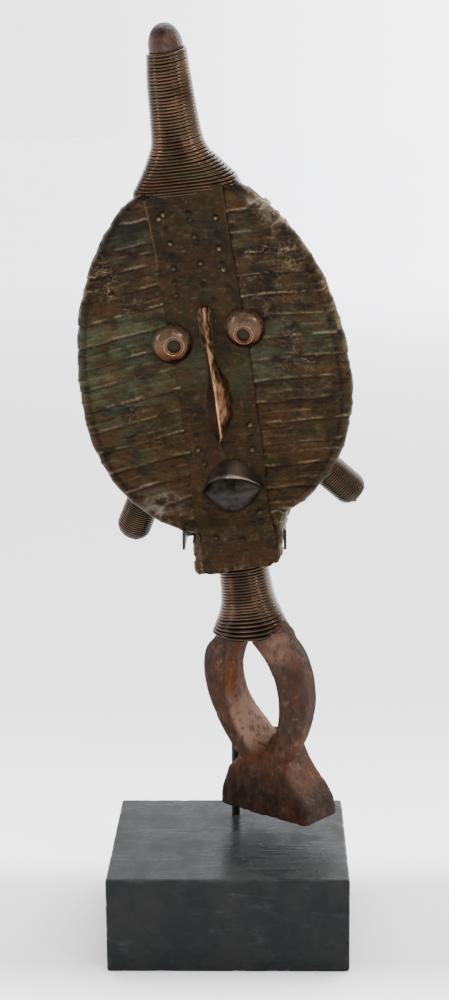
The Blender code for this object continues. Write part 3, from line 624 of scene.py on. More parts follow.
class Paint:
    """Writes one procedural material, node by node."""

    def __init__(self, name: str) -> None:
        """Start an empty material whose patterns lie on Object coordinates."""
        self.material = bpy.data.materials.new(name)
        self.material.use_nodes = True
        self.tree = self.material.node_tree
        self.shader = self.tree.nodes["Principled BSDF"]
        self.place = self.add("ShaderNodeTexCoord", {}).outputs["Object"]

    def add(self, kind: str, inputs: dict, **settings: object) -> bpy.types.Node:
        """Add a node, as add_node does."""
        return add_node(self.tree, kind, inputs, **settings)

    def value(self, name: str) -> Socket:
        """Number stored on the piece's points."""
        return self.add("ShaderNodeAttribute", {}, attribute_name=name).outputs["Fac"]

    def stretched(self, stretch: Triple, turn: float = 0.0) -> Socket:
        """Object coordinates scaled by stretch and turned about the depth axis."""
        inputs = {"Vector": self.place, "Scale": stretch, "Rotation": (0.0, turn, 0.0)}
        return self.add("ShaderNodeMapping", inputs).outputs["Vector"]

    def cloud(self, scale: float, detail: float = 4.0, rough: float = 0.6, twist: float = 0.0,
              vector: Socket | None = None) -> Socket:
        """Cloudy pattern, scale lumps to the metre."""
        inputs = {"Vector": vector or self.place, "Scale": scale, "Detail": detail,
                  "Roughness": rough, "Distortion": twist}
        return self.add("ShaderNodeTexNoise", inputs).outputs["Fac"]

    def band(self, value: Socket, low: float, high: float, start: float = 0.0,
             end: float = 1.0) -> Socket:
        """Ease from start to end while value goes from low to high."""
        inputs = {"Value": value, 1: low, 2: high, 3: start, 4: end}
        return self.add("ShaderNodeMapRange", inputs, interpolation_type="SMOOTHSTEP").outputs[0]

    def sum(self, kind: str, first: object, second: object) -> Socket:
        """Two numbers put together by a Math node and held from 0 to 1."""
        return self.add("ShaderNodeMath", {0: first, 1: second}, operation=kind, use_clamp=True).outputs[0]

    def mix(self, share: Socket, first: object, second: object) -> Socket:
        """Colour between two colours."""
        first, second = ((*c, 1.0) if isinstance(c, tuple) else c for c in (first, second))
        return self.add("ShaderNodeMix", {0: share, 6: first, 7: second}, data_type="RGBA").outputs[2]

    def coats(self, colour: object, *coats: tuple[Socket, Triple]) -> Socket:
        """Colour under coats laid one over the other, each a share and its own colour."""
        for share, coat in coats:
            colour = self.mix(share, colour, coat)
        return colour

    def bump(self, height: Socket, distance: float, normal: Socket | None = None) -> Socket:
        """Normal tipped by a pattern's slope, distance metres high, over another normal."""
        slopes = {"Height": height, "Distance": distance, "Strength": 1.0}
        if normal:
            slopes["Normal"] = normal
        return self.add("ShaderNodeBump", slopes).outputs[0]

    def finish(self, **inputs: object) -> Material:
        """Set or link the shader's sockets, named with spaces as underscores."""
        for key, value in inputs.items():
            socket = self.shader.inputs[key.replace("_", " ")]
            if isinstance(value, Socket):
                self.tree.links.new(value, socket)
            elif isinstance(value, tuple):
                socket.default_value = (*value, 1.0)
            else:
                socket.default_value = value
        return self.material


@dataclass(frozen=True)
class BeatenSheet:
    """Thin copper sheet gone brown, with verdigris in bands and bare metal on its folds; painted highlights and
    painted shade lie over it.
    """

    name: str
    brown: Triple = (0.0124, 0.0078, 0.0027)
    dark: Triple = (0.0040, 0.0027, 0.0014)
    ochre: Triple = (0.0310, 0.0158, 0.0046)
    red: Triple = (0.0240, 0.0105, 0.0044)
    green: Triple = (0.0178, 0.0255, 0.0084)
    bare: Triple = (0.170, 0.112, 0.058)
    pale: Triple = (0.120, 0.104, 0.076)
    crumple: float = 0.00035
    drag_tilt: float = math.radians(8.0)

    def make(self) -> Material:
        """Blend brown, ochre, verdigris, grime with painted shade, a whitish coat with painted highlights, and
        bare metal with painted highlights by the piece's own values and clouds.
        """
        paint = Paint(self.name)
        bloom = paint.value("bloom")
        cloud = paint.cloud(65.0, 6.0, 0.62, 0.5)
        patch = paint.cloud(150.0, 5.0, 0.62, 0.3, paint.stretched((0.55, 1.0, 1.0), self.drag_tilt))
        streak = paint.cloud(560.0, 4.0, 0.62, 0.5, paint.stretched((0.24, 1.0, 1.0), self.drag_tilt))
        grain = paint.cloud(1100.0, 3.0)
        green = paint.sum("MULTIPLY", paint.value("verdigris"), paint.band(patch, 0.62, 0.44, 0.25, 1.0))
        # The piece's dark value holds grime and painted shade; its pale and whitish values hold wear and painted
        # highlights.
        soot = paint.sum("ADD", paint.value("soot"), paint.band(streak, 0.50, 0.66, 0.0, 0.36))
        soot = paint.sum("ADD", soot, paint.band(patch, 0.44, 0.34, 0.0, 0.42))
        wear_and_highlight = paint.sum("MULTIPLY", paint.value("rub"), paint.band(grain, 0.38, 0.56, 0.10, 1.0))
        wear_and_highlight = paint.sum("ADD", wear_and_highlight, paint.band(streak, 0.38, 0.28, 0.0, 0.16))
        colour = paint.coats(
            self.brown, (paint.band(cloud, 0.40, 0.60), self.ochre),
            (paint.band(patch, 0.52, 0.64, 0.0, 0.75), self.red),
            (green, self.green), (soot, self.dark), (wear_and_highlight, self.bare), (bloom, self.pale))
        metal = paint.sum(
            "SUBTRACT", paint.band(wear_and_highlight, 0.0, 1.0, 0.66, 0.95), paint.band(green, 0.0, 1.0, 0.0, 0.40))
        metal = paint.sum("SUBTRACT", metal, paint.band(bloom, 0.0, 1.0, 0.0, 0.35))
        ridges = paint.bump(streak, self.crumple, paint.bump(patch, 0.0012))
        return paint.finish(
            Base_Color=colour, Metallic=metal, Roughness=paint.band(wear_and_highlight, 0.0, 0.7, 0.46, 0.26),
            Specular_IOR_Level=0.15, Normal=paint.bump(grain, 0.00010, ridges))


@dataclass(frozen=True)
class RubbedCopper:
    """Copper kept bright by handling and darker where hands don't reach, with painted highlights and painted
    shade over it.
    """

    name: str = "rubbed_copper"
    copper: Triple = (0.040, 0.0142, 0.0050)
    red: Triple = (0.030, 0.0100, 0.0045)
    pale: Triple = (0.44, 0.25, 0.135)
    brown: Triple = (0.074, 0.048, 0.029)
    olive: Triple = (0.0130, 0.0092, 0.0024)

    def make(self) -> Material:
        """Blend bright copper, pale ridge wear with painted highlights, and brown oxide with painted shade by the
        piece's own values.
        """
        paint = Paint(self.name)
        rubbed_and_highlit, pupil = paint.value("rub"), paint.value("pupil")
        fine = paint.cloud(300.0, 5.0)
        streak = paint.cloud(240.0, vector=paint.stretched((1.0, 1.0, 0.25)))
        # Brown here is oxide and painted shade; the pale coat is wear and painted highlight.
        tarnish_and_shade = paint.sum("MULTIPLY", paint.value("soot"), paint.band(fine, 0.25, 0.60, 0.55, 1.0))
        colour = paint.coats(
            self.copper, (paint.band(streak, 0.35, 0.65, 0.0, 0.7), self.red), (rubbed_and_highlit, self.pale),
            (tarnish_and_shade, self.brown), (pupil, self.olive))
        rough = paint.sum("ADD", paint.band(tarnish_and_shade, 0.0, 1.0, 0.18, 0.28), paint.band(pupil, 0.0, 1.0, 0.0, 0.4))
        metal = paint.sum("SUBTRACT", paint.band(tarnish_and_shade, 0.0, 1.0, 0.92, 0.45), pupil)
        metal = paint.sum("SUBTRACT", metal, paint.band(rubbed_and_highlit, 0.0, 1.0, 0.0, 0.55))
        return paint.finish(
            Base_Color=colour, Metallic=metal, Roughness=rough, Specular_IOR_Level=0.08,
            Coat_Weight=0.04, Coat_Roughness=0.10, Normal=paint.bump(fine, 0.00012))


@dataclass(frozen=True)
class GreyPewter:
    """Dull grey metal with a lilac cast."""

    name: str = "grey_pewter"
    grey: Triple = (0.0084, 0.0058, 0.0040)
    warm: Triple = (0.0160, 0.0112, 0.0076)
    dark: Triple = (0.0064, 0.0041, 0.0006)
    bright: Triple = (0.170, 0.130, 0.098)

    def make(self) -> Material:
        """Blend grey, warm grey and dark by clouds and the piece's own values."""
        paint = Paint(self.name)
        fine = paint.cloud(600.0)
        colour = paint.coats(
            self.grey, (paint.band(paint.cloud(90.0, 5.0), 0.40, 0.62), self.warm),
            (paint.value("rub"), self.bright), (paint.value("soot"), self.dark))
        return paint.finish(
            Base_Color=colour, Metallic=0.75, Roughness=paint.band(fine, 0.3, 0.7, 0.34, 0.48),
            Normal=paint.bump(fine, 0.00012))


@dataclass(frozen=True)
class BoundCopper:
    """Drawn copper wire, brown with painted shade in its valleys, bare copper from wear and painted highlights on
    its crests.
    """

    name: str = "bound_copper"
    brown: Triple = (0.032, 0.0150, 0.0070)
    copper: Triple = (0.150, 0.080, 0.050)
    grey: Triple = (0.035, 0.0268, 0.0125)
    dark: Triple = (0.0125, 0.0082, 0.0044)

    def make(self) -> Material:
        """Blend brown oxide with painted shade and bare copper with painted highlights along the turns by clouds
        and by how far a point stands out.
        """
        paint = Paint(self.name)
        cloud, fine = paint.cloud(60.0), paint.cloud(700.0)
        wear_and_highlight = paint.sum("MULTIPLY", paint.value("rub"), paint.band(cloud, 0.30, 0.60, 1.0, 0.35))
        colour = paint.coats(
            self.brown, (paint.band(cloud, 0.38, 0.62), self.grey), (wear_and_highlight, self.copper),
            (paint.value("soot"), self.dark))
        return paint.finish(
            Base_Color=colour, Metallic=0.88, Roughness=paint.band(fine, 0.3, 0.7, 0.13, 0.24),
            Normal=paint.bump(fine, 0.00003))


@dataclass(frozen=True)
class WornWood:
    """Old carved wood: brown skin, ochre-red inside the lozenge, dark patches and fibre marks."""

    name: str = "worn_wood"
    brown: Triple = (0.0275, 0.0152, 0.0108)
    ochre: Triple = (0.061, 0.0208, 0.0064)
    pale: Triple = (0.180, 0.104, 0.071)
    dark: Triple = (0.0095, 0.0043, 0.0021)
    fibre_tilt: float = math.radians(-8.0)

    def make(self) -> Material:
        """Blend the colours by the piece's own values, along fibres and in speckles."""
        paint = Paint(self.name)
        fibre = paint.cloud(210.0, 6.0, 0.68, 0.5, paint.stretched((1.0, 1.0, 0.62), self.fibre_tilt))
        cloud = paint.cloud(48.0, 6.0, 0.65, 0.4)
        patch = paint.cloud(130.0, 5.0, 0.62, 0.3)
        fine = paint.cloud(650.0, 4.0, 0.65)
        polish = paint.value("polish")
        soot = paint.sum("MULTIPLY", paint.value("soot"), paint.band(patch, 0.60, 0.40, 0.45, 1.0))
        soot = paint.sum("ADD", soot, paint.band(fine, 0.56, 0.70, 0.0, 0.36))
        colour = paint.coats(
            self.brown, (paint.band(cloud, 0.38, 0.62, 0.0, 0.50), self.ochre),
            (paint.value("ochre"), self.ochre), (paint.value("pale"), self.pale),
            (paint.band(fibre, 0.51, 0.64, 0.0, 0.54), self.dark),
            (paint.band(fibre, 0.46, 0.34, 0.0, 0.26), self.pale), (soot, self.dark),
            (paint.sum("SUBTRACT", paint.band(fine, 0.42, 0.26, 0.0, 0.30), polish), self.pale))
        ridges = paint.bump(fibre, 0.00055, paint.bump(patch, 0.0012))
        facing = paint.add("ShaderNodeLayerWeight", {"Blend": 0.5}).outputs["Facing"]
        gloss = paint.sum(
            "MULTIPLY", paint.band(polish, 0.0, 1.0, 0.08, 0.14), paint.band(facing, 0.35, 0.85, 1.0, 0.10))
        return paint.finish(
            Base_Color=colour, Roughness=paint.band(polish, 0.0, 1.0, 0.66, 0.16), Specular_IOR_Level=gloss,
            Normal=paint.bump(fine, 0.00020, ridges))


@dataclass(frozen=True)
class HonedSlate:
    """Blue-grey slate, honed, with faint scratches and pale edges from wear."""

    name: str = "honed_slate"
    blue: Triple = (0.0112, 0.0132, 0.0136)
    grey: Triple = (0.0170, 0.0174, 0.0162)
    pale: Triple = (0.048, 0.048, 0.046)

    def make(self) -> Material:
        """Blend two greys in clouds; scratches and edge wear are paler and rougher."""
        paint = Paint(self.name)
        cloud = paint.cloud(42.0, 8.0, 0.70, 0.4)
        scratch = paint.cloud(70.0, 5.0, 0.7, 1.5, paint.stretched((0.30, 2.2, 1.0)))
        colour = paint.coats(
            self.blue, (paint.band(cloud, 0.38, 0.62), self.grey),
            (paint.band(scratch, 0.56, 0.70, 0.0, 0.32), self.pale), (paint.value("rub"), self.pale))
        return paint.finish(
            Base_Color=colour, Roughness=paint.band(cloud, 0.36, 0.64, 0.20, 0.36),
            Specular_IOR_Level=paint.band(cloud, 0.34, 0.66, 0.030, 0.018),
            Normal=paint.bump(paint.cloud(700.0, 3.0), 0.00008, paint.bump(scratch, 0.0002)))


@dataclass(frozen=True)
class BlackSteel:
    """Mild steel painted black, slightly mottled."""

    name: str = "black_steel"
    black: Triple = (0.006, 0.006, 0.006)
    brown: Triple = (0.022, 0.017, 0.014)

    def make(self) -> Material:
        """Blend black and rusty brown in small clouds."""
        paint = Paint(self.name)
        fine = paint.cloud(1400.0, 3.0)
        mottle = paint.band(paint.cloud(120.0, 5.0), 0.50, 0.70, 0.0, 0.6)
        return paint.finish(
            Base_Color=paint.mix(mottle, self.black, self.brown), Specular_IOR_Level=0.2,
            Roughness=paint.band(fine, 0.3, 0.7, 0.42, 0.56), Normal=paint.bump(fine, 0.00005))


@dataclass
class Finishes:
    """One material for each finish of the object."""

    strips: Material
    face: Material
    copper: Material
    pewter: Material
    wire: Material
    wood: Material
    slate: Material
    steel: Material


def make_finishes() -> Finishes:
    """Write every material once."""
    return Finishes(
        strips=BeatenSheet("beaten_strips").make(),
        face=BeatenSheet("beaten_face", brown=(0.0100, 0.0062, 0.0020), ochre=(0.0198, 0.0094, 0.0027)).make(),
        copper=RubbedCopper().make(), pewter=GreyPewter().make(), wire=BoundCopper().make(),
        wood=WornWood().make(), slate=HonedSlate().make(), steel=BlackSteel().make())


def set_down(name: str, shape: Shape, material: Material, slot: str, *nodes: str,
             sharp_degrees: float = 50.0) -> None:
    """Put a finished piece on the frame.

    Args:
        name: Name of the piece.
        shape: Closed surface in the frame's coordinates.
        material: Finish of the piece.
        slot: Material slot of the record that the finish stands for; not used.
        *nodes: Frame nodes that the piece replaces.
        sharp_degrees: Edges that turn more than this stay sharp.
    """
    piece = mesh_object(name, shape, sharp_degrees)
    piece.data.materials.append(material)
    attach(piece, BODY)
    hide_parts(*nodes)
    LOG.info("%s: %d points, %d faces", name, len(shape.points), len(shape.quads) + len(shape.triangles))


# ------------------------------------------------------------------ wood

@dataclass
class CarvedWood:
    """Core of the figure, carved as one: foot, open lozenge, neck, board, chin, topknot and horns."""

    finish: Material
    foot_stations: tuple = (
        (-0.030, -0.0006, 0.0404, 0.0190),
        (0.006, -0.0010, 0.0404, 0.0192),
        (0.017, -0.0022, 0.0370, 0.0188),
        (0.028, -0.0030, 0.0306, 0.0178),
        (0.036, -0.0032, 0.0267, 0.0172),
        (0.043, -0.0030, 0.0232, 0.0164),
        (0.050, -0.0014, 0.0198, 0.0150),
    )
    foot_span: Pair = (-0.030, 0.050)
    foot_squareness: float = 14.0
    branch_outer: tuple = (
        (0.040, 0.0204), (0.050, 0.0270), (0.060, 0.0321), (0.072, 0.0368), (0.086, 0.0400),
        (0.098, 0.0412), (0.110, 0.0402), (0.122, 0.0370), (0.132, 0.0315), (0.1372, 0.0278),
    )
    branch_half_depth: tuple = (
        (0.040, 0.0098), (0.050, 0.0138), (0.060, 0.0158), (0.072, 0.0160), (0.1372, 0.0128),
    )
    branch_squareness: float = 2.7
    hole_middle: float = 0.0905
    hole_half_length: float = 0.0412
    hole_half_width: float = 0.0160
    hole_slant: float = 0.075
    floor_slope: float = 0.60
    floor_top: float = 0.100
    neck_stations: tuple = (
        (0.1335, 0.0290, 0.0124), (0.1375, 0.0285, 0.0128), (0.144, 0.0252, 0.0136),
        (0.153, 0.0200, 0.0143), (0.162, 0.0170, 0.0146), (0.172, 0.0158, 0.0145),
        (0.186, 0.0150, 0.0143), (0.204, 0.0145, 0.0140),
    )
    neck_squareness: float = 2.2
    topknot_stations: tuple = (
        (0.440, 0.0020, 0.0240, 0.0015, 0.0070), (0.4590, 0.0020, 0.0352, -0.0012, 0.0104),
        (0.4639, 0.0020, 0.0340, -0.0030, 0.0112), (0.4675, 0.0026, 0.0322, -0.0027, 0.0115),
        (0.471, 0.0022, 0.0294, -0.0022, 0.0118), (0.479, 0.0014, 0.0236, -0.0014, 0.0121),
        (0.487, 0.0001, 0.0182, -0.0007, 0.0123),
        (0.496, 0.0002, 0.0152, 0.0, 0.0124), (0.515, 0.0007, 0.0137, 0.0, 0.0120),
        (0.535, 0.0012, 0.0127, 0.0, 0.0114), (0.5535, 0.0025, 0.0112, 0.0, 0.0106),
    )
    knob_height: float = 0.0165
    knob_radius: float = 0.0116
    knob_gap: float = 0.002
    horn_start: tuple = ((-0.0462, -0.0040, 0.2730), (0.0565, -0.0035, 0.2680))
    horn_end: tuple = ((-0.0818, 0.0080, 0.2156), (0.0880, 0.0085, 0.2282))
    horn_radius: Pair = (0.0103, 0.0100)
    low_voxel: float = 0.00095
    high_voxel: float = 0.00130
    board_under_sheet: float = 0.0004
    chin_under_sheet: float = 0.0006
    blade_height: float = 0.00025
    board_blade_height: float = 0.00045
    swell_height: float = 0.00035
    fibre_height: float = 0.00035
    pit_depth: float = 0.0009
    pale_shoulder: tuple = (0.7, 0.022, 0.127, 0.012)
    foot_stain: tuple = (0.9, 0.036, 0.012, 0.011)

    def foot(self) -> Shape:
        """Flared foot: rounded rectangles up the station table, cut on the level above the block."""
        angle = circle(96)[None, :]
        low, high = self.foot_span
        share = np.linspace(0.0, 1.0, 26)[:, None]
        height = low + (high - low) * share
        for _ in range(3):
            across, half_side, half_depth = stations(self.foot_stations, height)
            side, depth = section(half_side, half_depth, self.foot_squareness, angle)
            side = side + across
            turn = SPINE.turn_at(height)
            level = -(side * np.cos(turn) + depth * np.sin(turn)) * math.tan(SPINE.side_tilt)
            height = level + (high - level) * share
        height = height + self.floor_slope * depth * ease((height - 0.034) / 0.016)
        return tube(stacked(side, depth, height))

    def hole_half_width_at(self, height: Array) -> Array:
        """Half width of the opening: one less a power of the distance from its middle, times its width."""
        reach = np.abs((height - self.hole_middle) / self.hole_half_length)
        return np.maximum(self.hole_half_width * (1.0 - reach ** 2.1), -0.003)

    def branch(self, hand: Hand) -> Shape:
        """One curved side of the lozenge, between its outline and the opening."""
        low, high = self.branch_outer[0][0], self.branch_outer[-1][0]
        height = np.linspace(low, high, 70)[:, None]
        outer, half_depth = through(self.branch_outer, 1, height), through(self.branch_half_depth, 1, height)
        inner = self.hole_half_width_at(height)
        slant = self.hole_slant * (self.hole_middle - height) * ease((inner + 0.003) / 0.006)
        side, depth = section((outer - inner) / 2.0, half_depth, self.branch_squareness, circle(64)[None, :])
        side = side + hand.value * (outer + inner) / 2.0 + slant
        slope = self.floor_slope * (1.0 - ease((height - low) / (self.floor_top - low)))
        return tube(stacked(side, depth, height + slope * depth))

    def neck(self) -> Shape:
        """Neck: rounded sections, wide over the lozenge and round under the chin."""
        height = np.linspace(self.neck_stations[0][0], self.neck_stations[-1][0], 36)[:, None]
        side, depth = section(*stations(self.neck_stations, height), self.neck_squareness, circle(64)[None, :])
        return tube(stacked(side, depth, height))

    def board(self) -> Shape:
        """Dished board: both halves' front, rim and back lines, sunk a little under the sheets."""
        height = np.linspace(HEAD.low[0] + 0.0008, HEAD.high - 0.0006, 120)[:, None]
        share = np.concatenate([
            np.linspace(0.0, 1.0, 40), np.linspace(1.0, 2.0, 11)[1:], np.linspace(2.0, 3.0, 40)[1:-1]])[None, :]
        halves = []
        for hand in (Hand.RIGHT, Hand.LEFT):
            reach = HEAD.half_width_at(height, hand) - HEAD.skin - HEAD.rim
            line = HEAD.skin_line(hand, HEAD.middle, share, height, reach)
            line[..., 1] += self.board_under_sheet * (share < 2.0)
            halves.append(line)
        return tube(np.concatenate([halves[0], halves[1][:, :0:-1]], 1))

    def chin(self) -> Shape:
        """Chin block: front on the face's own surface, back falling away to the neck."""
        share = np.linspace(-1.0, 1.0, 48)[None, :]
        height = np.concatenate([
            CHIN.low + CHIN.corner * np.linspace(0.0, 1.0, 8) ** 1.6,
            np.linspace(CHIN.low + CHIN.corner, CHIN.high, 30)[1:]])[:, None]
        side = HEAD.middle + share * (CHIN.half_width_at(height) + CHIN.flare_at(height, share))
        back_side = side - share * np.where(share < 0.0, *CHIN.back_narrowing)
        level = CHIN.level(height, share)
        back = np.interp(height, (CHIN.neck_top, CHIN.high), (CHIN.back, CHIN.back_top))
        front = HEAD.front_depth(side, height) + self.chin_under_sheet
        return shell(stacked(side, front, level), stacked(back_side, back, level))

    def topknot_line(self, height: Array, angle: Array, grow: float) -> Array:
        """Points round the topknot at a height, grown outwards: side, depth and height."""
        across, half_side, middle, half_depth = stations(self.topknot_stations, height)
        power = 2.0 + 1.2 * unit((0.490 - height) / 0.025)
        side, depth = section(half_side + grow, half_depth + grow, power, angle)
        return stacked(side + across, depth + middle, height)

    def topknot(self) -> Shape:
        """Topknot: sections up the station table, closed by a rounded knob."""
        angle = circle(64)[None, :]
        low, top = self.topknot_stations[0][0], self.topknot_stations[-1]
        height = np.concatenate([np.linspace(low, 0.4630, 12), np.linspace(0.4640, top[0], 60)])[:, None]
        turn = np.radians(np.linspace(6.0, 86.0, 16))[:, None]
        radius = self.knob_radius * np.cos(turn) ** 0.88
        level = top[0] + self.knob_gap + self.knob_height * np.sin(turn)
        knob = stacked(top[1] + radius * np.cos(angle), radius * np.sin(angle), level)
        return tube(np.concatenate([self.topknot_line(height, angle, 0.0), knob]))

    def horn_axis(self, hand: Hand) -> tuple[Array, Array, Array, Array]:
        """Tip of a horn, the unit line up to its tip and two lines square to it."""
        start, tip = (np.array(HEAD.pick(ends, hand)) for ends in (self.horn_start, self.horn_end))
        axis = direction(tip - start)
        first = direction(np.cross(axis, (0.0, 1.0, 0.0)))
        return tip, axis, first, np.cross(axis, first)

    def horn_radius_at(self, hand: Hand, distance: Array) -> Array:
        """Radius of a horn at a distance from its tip: full, rounded to the tip by a quarter ellipse."""
        full = HEAD.pick(self.horn_radius, hand)
        near = unit(1.0 - distance / 0.0090)
        return full * np.sqrt(np.maximum(1.0 - 0.96 * near ** 2.2, 0.0))

    def horn_line(self, hand: Hand, distance: Array, angle: Array, grow: float) -> Array:
        """Points round a horn at a distance from its tip, grown outwards."""
        tip, axis, first, second = self.horn_axis(hand)
        radius = (self.horn_radius_at(hand, distance) + grow)[..., None]
        outwards = np.cos(angle)[..., None] * first + np.sin(angle)[..., None] * second
        return tip - axis * distance[..., None] + radius * outwards

    def horn(self, hand: Hand) -> Shape:
        """Short round horn on the back of the head."""
        distance = np.concatenate([np.linspace(0.0, 0.009, 12), np.linspace(0.009, 0.062, 24)[1:]])[:, None]
        return tube(self.horn_line(hand, *np.broadcast_arrays(distance, circle(40)[None, :]), 0.0))

    def wear_low(self, points: Array, normals: Array) -> tuple[Array, Values]:
        """Relief, stains, painted light and painted shade of foot, lozenge and neck."""
        side, depth, height = points.T
        blade, tilt = cells(side + 0.6 * depth, height, 0.013, 11)
        foot, front = ease((0.048 - height) / 0.012), ease((-normals[:, 1] - 0.3) / 0.4)
        relief = self.blade_height * tilt - 0.00012 * unit(blade - 0.5)
        relief = relief + self.swell_height * noise(points, 0.030, 12)
        relief = relief + self.fibre_height * foot * front * flat_noise(height, side, 0.0028, 13, 6.0)
        relief = relief - self.pit_depth * unit(noise(points, 0.007, 14) - 0.55)
        inside = ease((np.sign(-side) * normals[:, 0] - 0.15) / 0.5) * ease((height - 0.045) / 0.015)
        left_inside = inside * (side < 0.0)
        ochre = left_inside * ease((height - 0.080) / 0.02) + 0.8 * mound(height - 0.043, 0.006) * (side < 0.012)
        flare = ease((side - 0.018) / 0.008) * ease((0.046 - height) / 0.01) * ease((normals[:, 0] + 0.2) / 0.5)
        # Paler: low on the left branch's inner face, painted light on the face turned to the light; and a pale
        # patch on the right branch's shoulder.
        pale = 0.8 * left_inside * ease((0.104 - height) / 0.035)
        pale = pale + front * spots(side, height, self.pale_shoulder)
        cloud = noise(points, 0.016, 15)
        # Darker: the foot's front faces except towards its right side, the right branch outside the opening, the
        # far left, the foot's lower right corner and high on the left branch's inner face; painted shade together
        # with the wood's own dirt and a stain on the foot.
        soot = foot * front * (0.75 + 0.3 * cloud) * ease((0.034 - side) / 0.02)
        soot = soot + 0.55 * (side > 0.0) * ease((height - 0.06) / 0.02) * (1.0 - inside) * (0.6 + 0.8 * cloud)
        soot = soot + 0.6 * ease((-side - 0.030) / 0.006) + spots(side, height, self.foot_stain)
        soot = soot + 0.8 * ease((side - 0.030) / 0.006) * ease((0.012 - height) / 0.010)
        soot = soot + 0.30 * left_inside * ease((height - 0.108) / 0.012)
        return relief, wear(ochre=ochre + 0.35 * flare, pale=pale, soot=soot, polish=0.15)

    def wear_high(self, points: Array, normals: Array) -> tuple[Array, Values]:
        """Relief and stains of board, chin, topknot and horns, with painted highlights and painted shade on the
        knob.
        """
        side, _, height = points.T
        blade, tilt = cells(side, height, 0.016, 21)
        on_back = ease((normals[:, 1] - 0.2) / 0.5)
        relief = on_back * (self.board_blade_height * tilt - 0.0003 * unit(blade - 0.45))
        relief = relief + 0.0003 * noise(points, 0.03, 22)
        cloud = noise(points, 0.02, 23)
        knob = ease((height - 0.552) / 0.003)
        # Painted highlights: two upright pale bands on the knob's sides; its top is painted darker, painted
        # shade.
        shine = (mound(side + 0.0042, 0.0026) + mound(side - 0.0052, 0.0022)) * ease((0.5668 - height) / 0.004)
        return relief, wear(
            ochre=unit(0.08 + 0.4 * cloud) * (1.0 - knob), pale=0.22 * knob * shine, polish=knob,
            soot=0.45 + 0.6 * cloud + knob * (0.25 + 0.5 * ease((height - 0.5645) / 0.003)))

    def build(self) -> None:
        """Carve the lower and the upper half; they meet under the neck's wire."""
        low = [self.foot(), self.branch(Hand.LEFT), self.branch(Hand.RIGHT), self.neck()]
        high = [self.board(), self.chin(), self.topknot(), self.horn(Hand.LEFT), self.horn(Hand.RIGHT)]
        for name, forms, voxel, wear_and_highlight in (
                ("wood_low", low, self.low_voxel, self.wear_low),
                ("wood_high", high, self.high_voxel, self.wear_high)):
            points, quads, normals = carve_together(forms, voxel)
            relief, values = wear_and_highlight(points, normals)
            shape = SPINE.placed(Shape(points + normals * relief[:, None], quads, values=values))
            set_down(name, shape, self.finish, "carved_wood", "wood_core", sharp_degrees=60.0)


# ------------------------------------------------------------------ sheet metal

